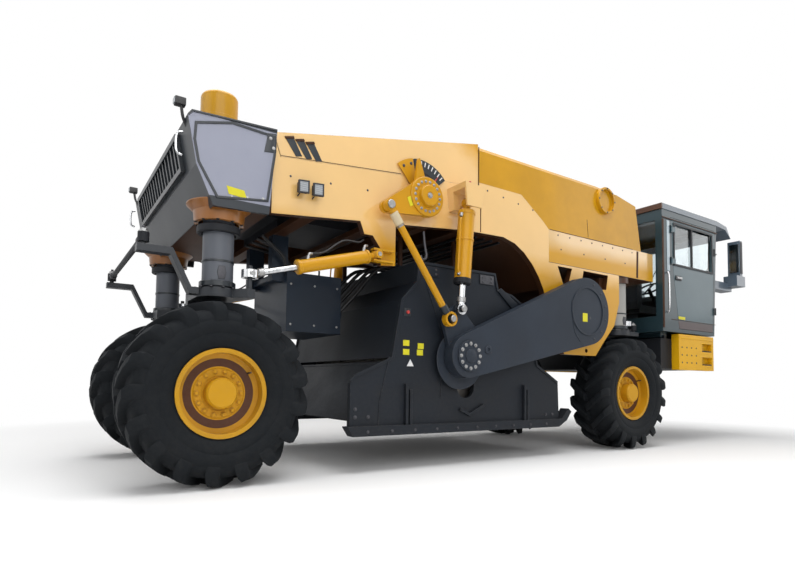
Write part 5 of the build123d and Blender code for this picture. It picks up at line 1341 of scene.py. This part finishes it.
def make_lift_barrel_fittings(name, side):
    """The barrel's collars, its dark gland with bolts, and the pipe along it."""
    lift = Shape(side).use("deep_yellow")
    collar(lift, LIFT, 0.105, 0.140, 0.088, 0.099)
    collar(lift, LIFT, 0.42, 0.44, 0.088, 0.099)
    collar(lift.use("under_black"), LIFT, 0.855, 0.925, 0.042, 0.098)
    spots = []
    for part in range(8):
        turn = math.tau * part / 8
        top = (LIFT[0][0] + GLAND_BOLT_CIRCLE * math.cos(turn), LIFT[0][1])
        spots.append(between((top, LIFT[1]), 0.926, LIFT[2] + GLAND_BOLT_CIRCLE * math.sin(turn)))
    lift.bolts(spots, (-0.075, 0.0, -1.0), 0.009, 0.010)
    lift.use("deep_yellow").tube(LIFT_PIPE, 0.011, 10)
    lift.use("bolt_steel").rod((2.478, 1.55, 2.735), (2.490, 1.55, 2.775), 0.018, 12)
    lift.rod((2.444, 1.55, 2.085), (2.462, 1.55, 2.115), 0.018, 12)
    lift.done(f"lift_barrel_fittings_{name}", "lift_barrels", "yellow_paint")


def make_link_fittings(name, side):
    """The collar at the lift rod's eye, and the sleeves and nut of the depth link."""
    rod = Shape(side).use("bolt_steel")
    collar(rod, LIFT, 1.070, 1.125, 0.039, 0.052)
    rod.done(f"lift_rod_fittings_{name}", "lift_rods", "rod_steel")
    link = Shape(side)
    collar(link.use("cream"), LINK, 0.085, 0.22, 0.030, 0.047)
    collar(link.use("shroud_panel"), LINK, 1.185, 1.275, 0.030, 0.046)
    collar(link.use("bolt_steel"), LINK, 0.222, 0.245, 0.030, 0.043, 6)
    link.done(f"depth_link_fittings_{name}", "depth_links", "yellow_paint")


def make_steering_fittings(name, side):
    """The steering barrel's gland, its two unions and the hose between them, and the rod's eye."""
    steer = Shape(side).use("deep_yellow")
    collar(steer, STEER, 0.855, 0.895, 0.031, 0.071)
    collar(steer, STEER, 0.100, 0.125, 0.060, 0.070)
    steer.use("bolt_steel")
    for far in UNION_PLACES:
        x, out, z = between(STEER, far)
        steer.rod((x + 0.017, out, z + 0.060), (x + 0.026, out, z + 0.100), 0.018, 12)
        elbow = [(x + 0.026, out, z + 0.095), (x + 0.036, out, z + 0.122), (x + 0.066, out - 0.01, z + 0.128)]
        steer.tube(elbow, 0.014, 10)
    x, out, z = between(STEER, UNION_PLACES[0], STEER[2] - 0.01)
    low_x, low_out, low_z = between(STEER, UNION_PLACES[1], STEER[2] - 0.01)
    steer.use("hose").tube([
        (low_x + 0.05, low_out, low_z + 0.128), (low_x + 0.20, low_out - 0.01, low_z + 0.165),
        (x - 0.20, out - 0.02, z + 0.145), (x - 0.02, out - 0.03, z + 0.16),
        (x + 0.05, out - 0.05, z + 0.20)], 0.010, 10)
    steer.done(f"steer_barrel_fittings_{name}", f"rear_steering_barrel_{name}", "yellow_paint")
    eye = Shape(side).use("bolt_steel")
    collar(eye, STEER_ROD, 1.225, 1.275, 0.029, 0.041)
    eye.bolts([(STEER[1][0], 1.404, STEER[1][1])], OUTWARDS, 0.020, 0.014)
    eye.done(f"steer_rod_fittings_{name}", f"rear_steering_rod_{name}", "rod_steel")


def make_leg_fittings(end, name, side, pin_x, pin_z):
    """A leg's ball-joint nut, column rings, slot plate and foot bolts."""
    axle = AXLES[end]
    leg = Shape(side).use("bolt_steel").bolts([(pin_x, LEG_OUT, pin_z)], UPWARDS, 0.030, 0.030)
    leg.use("dark_bolt").rod((pin_x, LEG_OUT, pin_z + 0.02), (pin_x, LEG_OUT, pin_z + 0.055), 0.014, 12)
    leg.use("shroud_black").sleeve((axle, LEG_OUT, 1.735), (axle, LEG_OUT, 1.785), 0.134, 0.158, 48)
    leg.sleeve((axle, LEG_OUT, 1.955), (axle, LEG_OUT, 1.975), 0.134, 0.140, 48)
    leg.prism([(axle + along, height) for along, height in COLUMN_SLOT], 1.235, 1.258, bevel=0.004)
    leg.use("dark_bolt").bolts(level_circle(axle, LEG_OUT, 1.7195, 0.19, 12), UPWARDS, 0.012, 0.010)
    leg.done(f"{end}_leg_fittings_{name}", f"{end}_leg_{name}", "leg_grey")


def make_tie_rod_clamps(end, x, z):
    """The two clamps of a tie rod."""
    tie = Shape(RIGHT).use("dark_bolt")
    for y in (-0.98, 0.98):
        tie.sleeve((x, y - 0.035, z), (x, y + 0.035, z), TIE_ROD_RADIUS - 0.001, TIE_ROD_RADIUS + 0.012, 24)
        tie.bolts([(x, y, z + TIE_ROD_RADIUS + 0.010)], UPWARDS, 0.009, 0.010)
    tie.done(f"{end}_tie_rod_clamps", f"{end}_tie_rod", "leg_grey")


class RECYCLER_OT_cylinder_fittings(bpy.types.Operator):
    """Adds collars, pipes, hoses, unions and pin caps to the cylinders, links and legs"""
    bl_idname = "recycler.cylinder_fittings"
    bl_label = "Cylinders, Links and Legs"

    def execute(self, context):
        for name, side in SIDES:
            make_lift_barrel_fittings(name, side)
            make_link_fittings(name, side)
            make_steering_fittings(name, side)
            for end, pin_x, pin_z in BALL_JOINTS:
                make_leg_fittings(end, name, side, pin_x, pin_z)
        for end, x, z in TIE_RODS:
            make_tie_rod_clamps(end, x, z)
        return {"FINISHED"}


# Drum hood, arms and what hangs under the hull

HOOD_FACE = 1.310
HOOD_EDGE = ((1.270, 0.92), (1.330, 0.975), (1.765, 1.165), (1.845, 1.600), (1.875, 1.785), (2.075, 2.005),
             (2.095, 2.215), (3.205, 2.215), (3.255, 2.030), (3.500, 1.978), (3.715, 1.860), (3.935, 1.145),
             (4.315, 0.935))
HOOD_SEAM = ((1.725, 1.178), (1.610, 0.715), (1.600, 0.47))
HOOD_FOLD = ((2.190, 2.000), (2.420, 1.450), (2.400, 0.750))
HOOD_BOW = ((2.669, 0.622), (2.806, 0.556), (3.023, 0.659))
HOOD_BRACKET = ((3.25, 2.02), (3.30, 2.06), (3.57, 1.90), (3.57, 1.83), (3.52, 1.80))
GUSSET_XS = (1.93, 3.69)
TOP_PLATE_XS = ((2.13, 2.36), (2.97, 3.19))
PLATE_BOLTS = [(x, z) for x in (2.17, 2.32, 3.01, 3.15) for z in (2.11, 2.16)]
EDGE_BOLTS = ((4.10, 0.53), (4.22, 0.53), (1.33, 0.56), (1.33, 0.64), (1.48, 0.56))
SIGN_PLATES = ((1.895, 1.300), (1.895, 1.205), (2.075, 1.205), (2.085, 1.275))
ARM_FACE = 1.540
ARM_FLANGE_FACE = 1.562
PIVOT = (4.65, 1.87)
DRUM = (2.62, 1.21)
ARM_SEAM = ((4.336, 1.989), (4.345, 1.75), (4.39, 1.58), (4.50, 1.46))
DRUM_CAP = ((0.0, 0.075), (0.010, 0.075), (0.016, 0.066), (0.016, 0.02))
SLOT_COVER = ((0.0, 0.325), (0.008, 0.330), (0.014, 0.325))
EYE_CAP = ((0.0, 0.036), (0.012, 0.036), (0.018, 0.02952), (0.018, 0.0108))
LINER_LINE = ((2.80, 2.735), (3.05, 2.725), (3.36, 2.735), (3.57, 2.685), (3.735, 2.590), (3.885, 2.460),
              (4.01, 2.305), (4.10, 2.15))
LINER_HALF_WIDTH = 1.218
LINER_RIBS = 7
HOSE_OUTS = (0.46, 0.30, 0.12, -0.08)


def make_hood_fittings(name, side):
    """The drum hood's edge band, folds, gussets, bolts and bare sign plates."""
    low = HOOD_FACE - SUNK
    hood = Shape(side).use("hood_grey")
    hood.strip(HOOD_EDGE, 0.030, low, HOOD_FACE + 0.012, bevel=0.003)
    hood.strip(HOOD_SEAM, 0.012, low, HOOD_FACE + 0.005)
    hood.strip(HOOD_FOLD, 0.010, low, HOOD_FACE + 0.006)
    hood.strip(HOOD_BOW, 0.034, low, HOOD_FACE + 0.030, bevel=0.004)
    for x in GUSSET_XS:
        hood.prism([(x - 0.016, 0.47), (x + 0.016, 0.47), (x + 0.016, 0.86), (x - 0.016, 0.90)], low,
                   HOOD_FACE + 0.044, bevel=0.003)
    hood.prism(HOOD_BRACKET, low, HOOD_FACE + 0.020, bevel=0.003)
    for ends in TOP_PLATE_XS:
        hood.box(ends, (low, HOOD_FACE + 0.010), (2.08, 2.19), 0.003)
    hood.use("dark_bolt")
    hood.bolts([(x, HOOD_FACE + 0.010, z) for x, z in PLATE_BOLTS], OUTWARDS, 0.010, 0.009)
    hood.bolts([(x, HOOD_FACE, z) for x, z in EDGE_BOLTS], OUTWARDS, 0.014, 0.012)
    hood.bolts([(1.45 + 0.29 * part, 1.360, 0.415) for part in range(10)], OUTWARDS, 0.012, 0.010)
    hood.use("plate_yellow")
    for x, z in SIGN_PLATES:
        hood.box((x, x + 0.080), (HOOD_FACE - 0.0005, HOOD_FACE + 0.003), (z, z + 0.062))
    hood.use("white")
    hood.prism([(1.945, 1.085), (2.035, 1.085), (1.990, 1.160)], HOOD_FACE - 0.0005, HOOD_FACE + 0.003)
    hood.use("shroud_panel").box((1.905, 1.985), (low, HOOD_FACE + 0.006), (1.62, 1.70), 0.002)
    hood.use("red").rod((1.945, HOOD_FACE + 0.005, 1.66), (1.945, HOOD_FACE + 0.024, 1.66), 0.018, 20)
    hood.done(f"hood_fittings_{name}", "drum_hood", "dark_blue_paint")


def make_arm_fittings(name, side):
    """The arm's pivot cover, seams and bolts, and the cover behind it over the hood's shaft slot."""
    low = ARM_FACE - SUNK
    arm = Shape(side).use("arm_grey")
    arm.sleeve((PIVOT[0], low, PIVOT[1]), (PIVOT[0], ARM_FACE + 0.010, PIVOT[1]), 0.300, 0.322, 72)
    arm.strip(ARM_SEAM, 0.010, low, ARM_FACE + 0.004)
    arm.sleeve((2.895, low, 1.29), (2.895, ARM_FACE + 0.010, 1.29), 0.020, 0.050, 32)
    arm.turned(DRUM_CAP, (DRUM[0], ARM_FLANGE_FACE - SUNK, DRUM[1]), OUTWARDS, 40)
    arm.turned(SLOT_COVER, (DRUM[0], 1.372, DRUM[1] - 0.04), OUTWARDS, 64)
    arm.use("plate_yellow").box((4.545, 4.640), (ARM_FACE - 0.0005, ARM_FACE + 0.003), (1.730, 1.840))
    spots = circle_spots(DRUM[0], ARM_FLANGE_FACE, DRUM[1], 0.135, 12)
    arm.use("bolt_steel").bolts(spots, OUTWARDS, 0.015, 0.014)
    for x, z in (LIFT[1], LINK[1]):
        arm.turned(EYE_CAP, (x, ARM_FLANGE_FACE - 0.0005, z), OUTWARDS, 28)
    spots = circle_spots(PIVOT[0], ARM_FACE, PIVOT[1], 0.38, 6, -70, 70)
    arm.use("dark_bolt").bolts(spots, OUTWARDS, 0.010, 0.008)
    arm.rod((4.694, low, 1.785), (4.694, ARM_FACE + 0.003, 1.785), 0.018, 20)
    arm.done(f"arm_fittings_{name}", "drum_arms", "dark_blue_paint")


def make_pump_hoses():
    """The lid and bolts of the pump unit and the hoses that leave it to both ends."""
    under = Shape(RIGHT).use("tank")
    under.box((0.82, 1.50), (-0.40, 0.40), (2.04, 2.10), 0.010)
    under.use("hose")
    for index, out in enumerate(HOSE_OUTS):
        under.tube([(1.56, out, 1.70 + 0.05 * index), (1.75, out + 0.04, 1.92 + 0.04 * index),
                    (2.05, out + 0.05, 2.26 + 0.02 * index), (2.40, out, 2.36)], 0.022, 12)
        under.tube([(0.92 + 0.10 * index, out, 2.06), (0.86 + 0.10 * index, out + 0.06, 2.24),
                    (0.70 + 0.12 * index, out + 0.10, 2.36), (0.60, out + 0.10, 2.44)], 0.018, 12)
    spots = [(0.95 + 0.28 * part, 0.521, z) for part in range(3) for z in (1.53, 1.97)]
    under.use("bolt_steel").bolts(spots, OUTWARDS, 0.009, 0.007)
    under.done("pump_hoses", "chassis", "lamp_black")


def make_arch_liner():
    """The sheet with dark ribs that closes the hull over the drum hood; its brown is painted shade under the
    arch.
    """
    liner = Shape(LEFT).use("hull_brown")
    liner.strip(LINER_LINE, 0.016, -LINER_HALF_WIDTH, LINER_HALF_WIDTH)
    liner.use("under_black")
    for part in range(LINER_RIBS):
        x = 2.95 + 0.13 * part
        drop = 0.004 * part
        liner.box((x, x + 0.03), (-1.10, 1.10), (2.690 - drop, 2.716 - drop), 0.003)
    liner.done("arch_liner", "chassis", "brown_paint")


class RECYCLER_OT_drum_unit_fittings(bpy.types.Operator):
    """Adds the drum hood's edges and plates, the arms' covers and bolts, the pump's hoses and the liner"""
    bl_idname = "recycler.drum_unit_fittings"
    bl_label = "Drum Unit"

    def execute(self, context):
        for name, side in SIDES:
            make_hood_fittings(name, side)
            make_arm_fittings(name, side)
        make_pump_hoses()
        make_arch_liner()
        return {"FINISHED"}


# Cab

DOOR_FACE = 1.4215
CAB_FACE = 1.4205
WINDOW_FRAME = ((6.925, 2.805), (8.085, 2.805), (8.085, 3.455), (6.925, 3.455))
HINGE_HEIGHTS = (2.10, 3.10)
GRAB_RAIL = ((6.70, 1.421, 2.05), (6.70, 1.462, 2.07), (6.70, 1.470, 2.35), (6.70, 1.462, 2.63),
             (6.70, 1.421, 2.65))
WIPER_OUTS = (1.20, 0.20)
# distance forward and radius
MIRROR_LAMP = ((0.0, 0.030), (0.020, 0.058), (0.055, 0.060), (0.062, 0.050))
STEP_HEIGHTS = (1.25, 1.47)


def make_door_fittings():
    """The door's window frame, middle bar, handle, hinges and lower seam."""
    door = Shape(RIGHT).use("black_plastic")
    door.strip(WINDOW_FRAME, 0.034, 1.424, 1.432, closed=True, bevel=0.003)
    door.strip([(7.45, 2.81), (7.45, 3.45)], 0.030, 1.402, 1.430)
    door.use("bolt_steel").box((6.97, 7.11), (DOOR_FACE, 1.450), (2.585, 2.620), 0.006)
    door.use("black_plastic").box((6.955, 7.125), (1.421, 1.4275), (2.565, 2.640), 0.003)
    for z in HINGE_HEIGHTS:
        door.rod((8.13, 1.438, z), (8.13, 1.438, z + 0.12), 0.014, 14)
    door.use("plate_yellow").box((7.03, 7.22), (1.4205, 1.4235), (1.955, 2.000))
    door.use("hull_brown").strip([(6.83, 1.94), (8.155, 1.94)], 0.008, 1.421, 1.425)
    door.done("door_fittings", "door", "cab_paint")


def make_cab_fittings():
    """The cab's pale post, brown rear edge, grab rail and wipers."""
    cab = Shape(RIGHT).use("post_blue").box((6.725, 6.800), (CAB_FACE, 1.4260), (2.69, 3.48), 0.002)
    cab.use("hull_brown").box((6.600, 6.640), (CAB_FACE, 1.4300), (1.80, 3.48), 0.002)
    cab.box((6.585, 8.25), (1.4295, 1.4340), (3.500, 3.516))
    cab.use("rod_chrome").tube(GRAB_RAIL, 0.013, 12)
    cab.use("black_plastic")
    for out in WIPER_OUTS:
        cab.tube([(8.21, out, 2.62), (8.245, out + 0.05, 2.90), (8.235, out + 0.22, 3.16)], 0.009, 8)
    cab.done("cab_fittings", "cab", "cab_paint")


def make_mirror_head():
    """The right mirror's housing and glass, and the round lamp under it."""
    mirror = Shape(RIGHT).use("black_plastic").box((8.752, 8.832), (1.372, 1.568), (2.86, 3.42), 0.012)
    mirror.use("mirror").box((8.744, 8.753), (1.390, 1.550), (2.89, 3.39), 0.002)
    mirror.use("white").turned(MIRROR_LAMP, (8.815, 1.47, 2.73), FORWARDS, 28)
    mirror.done("mirror_right_head", "cab", "cab_glass")


def make_step_fittings():
    """The right step box's rivets, tread plates and upper edge."""
    steps = Shape(RIGHT).use("dark_bolt")
    steps.bolts([(x, 1.4195, z) for x in (7.12, 7.26, 7.40, 7.54) for z in (1.28, 1.40, 1.52)], OUTWARDS,
                0.010, 0.006)
    steps.use("under_black")
    for z in STEP_HEIGHTS:
        steps.box((7.72, 8.02), (1.352, 1.4185), (z + 0.004, z + 0.018), 0.003)
    steps.use("step_yellow").box((7.035, 8.075), (1.4195, 1.4250), (1.655, 1.690), 0.002)
    steps.done("step_fittings", "chassis", "yellow_paint")


class RECYCLER_OT_cab_fittings(bpy.types.Operator):
    """Adds the cab's window frame, post, mirror, handles, wipers and steps"""
    bl_idname = "recycler.cab_fittings"
    bl_label = "Cab Fittings"

    def execute(self, context):
        make_door_fittings()
        make_cab_fittings()
        make_mirror_head()
        make_step_fittings()
        return {"FINISHED"}


# Panel, registration and run

STEPS = (RECYCLER_OT_stage, RECYCLER_OT_node_finishes, RECYCLER_OT_tyres, RECYCLER_OT_rim_fittings,
         RECYCLER_OT_shroud_fittings, RECYCLER_OT_hull_fittings, RECYCLER_OT_cylinder_fittings,
         RECYCLER_OT_drum_unit_fittings, RECYCLER_OT_cab_fittings)
VALUES = {"recycler_paint": RecyclerPaint, "recycler_sizes": RecyclerSizes, "recycler_stage": RecyclerStage}


class RECYCLER_PT_panel(bpy.types.Panel):
    """Lists the machine's values and the steps that dress it"""
    bl_idname = "RECYCLER_PT_panel"
    bl_label = "Cold Recycler"
    bl_space_type = "VIEW_3D"
    bl_region_type = "UI"
    bl_category = "Recycler"

    def draw(self, context):
        for label, group in VALUES.items():
            for value in group.__annotations__:
                self.layout.prop(getattr(context.scene, label), value)
        for step in STEPS:
            self.layout.operator(step.bl_idname)


CLASSES = (*VALUES.values(), *STEPS, RECYCLER_PT_panel)


def register():
    for item in CLASSES:
        bpy.utils.register_class(item)
    for label, group in VALUES.items():
        setattr(bpy.types.Scene, label, PointerProperty(type=group))


def unregister():
    for label in VALUES:
        delattr(bpy.types.Scene, label)
    for item in reversed(CLASSES):
        bpy.utils.unregister_class(item)


def main():
    register()
    for step in STEPS:
        group, name = step.bl_idname.split(".")
        getattr(getattr(bpy.ops, group), name)()


if __name__ == "__main__":
    main()
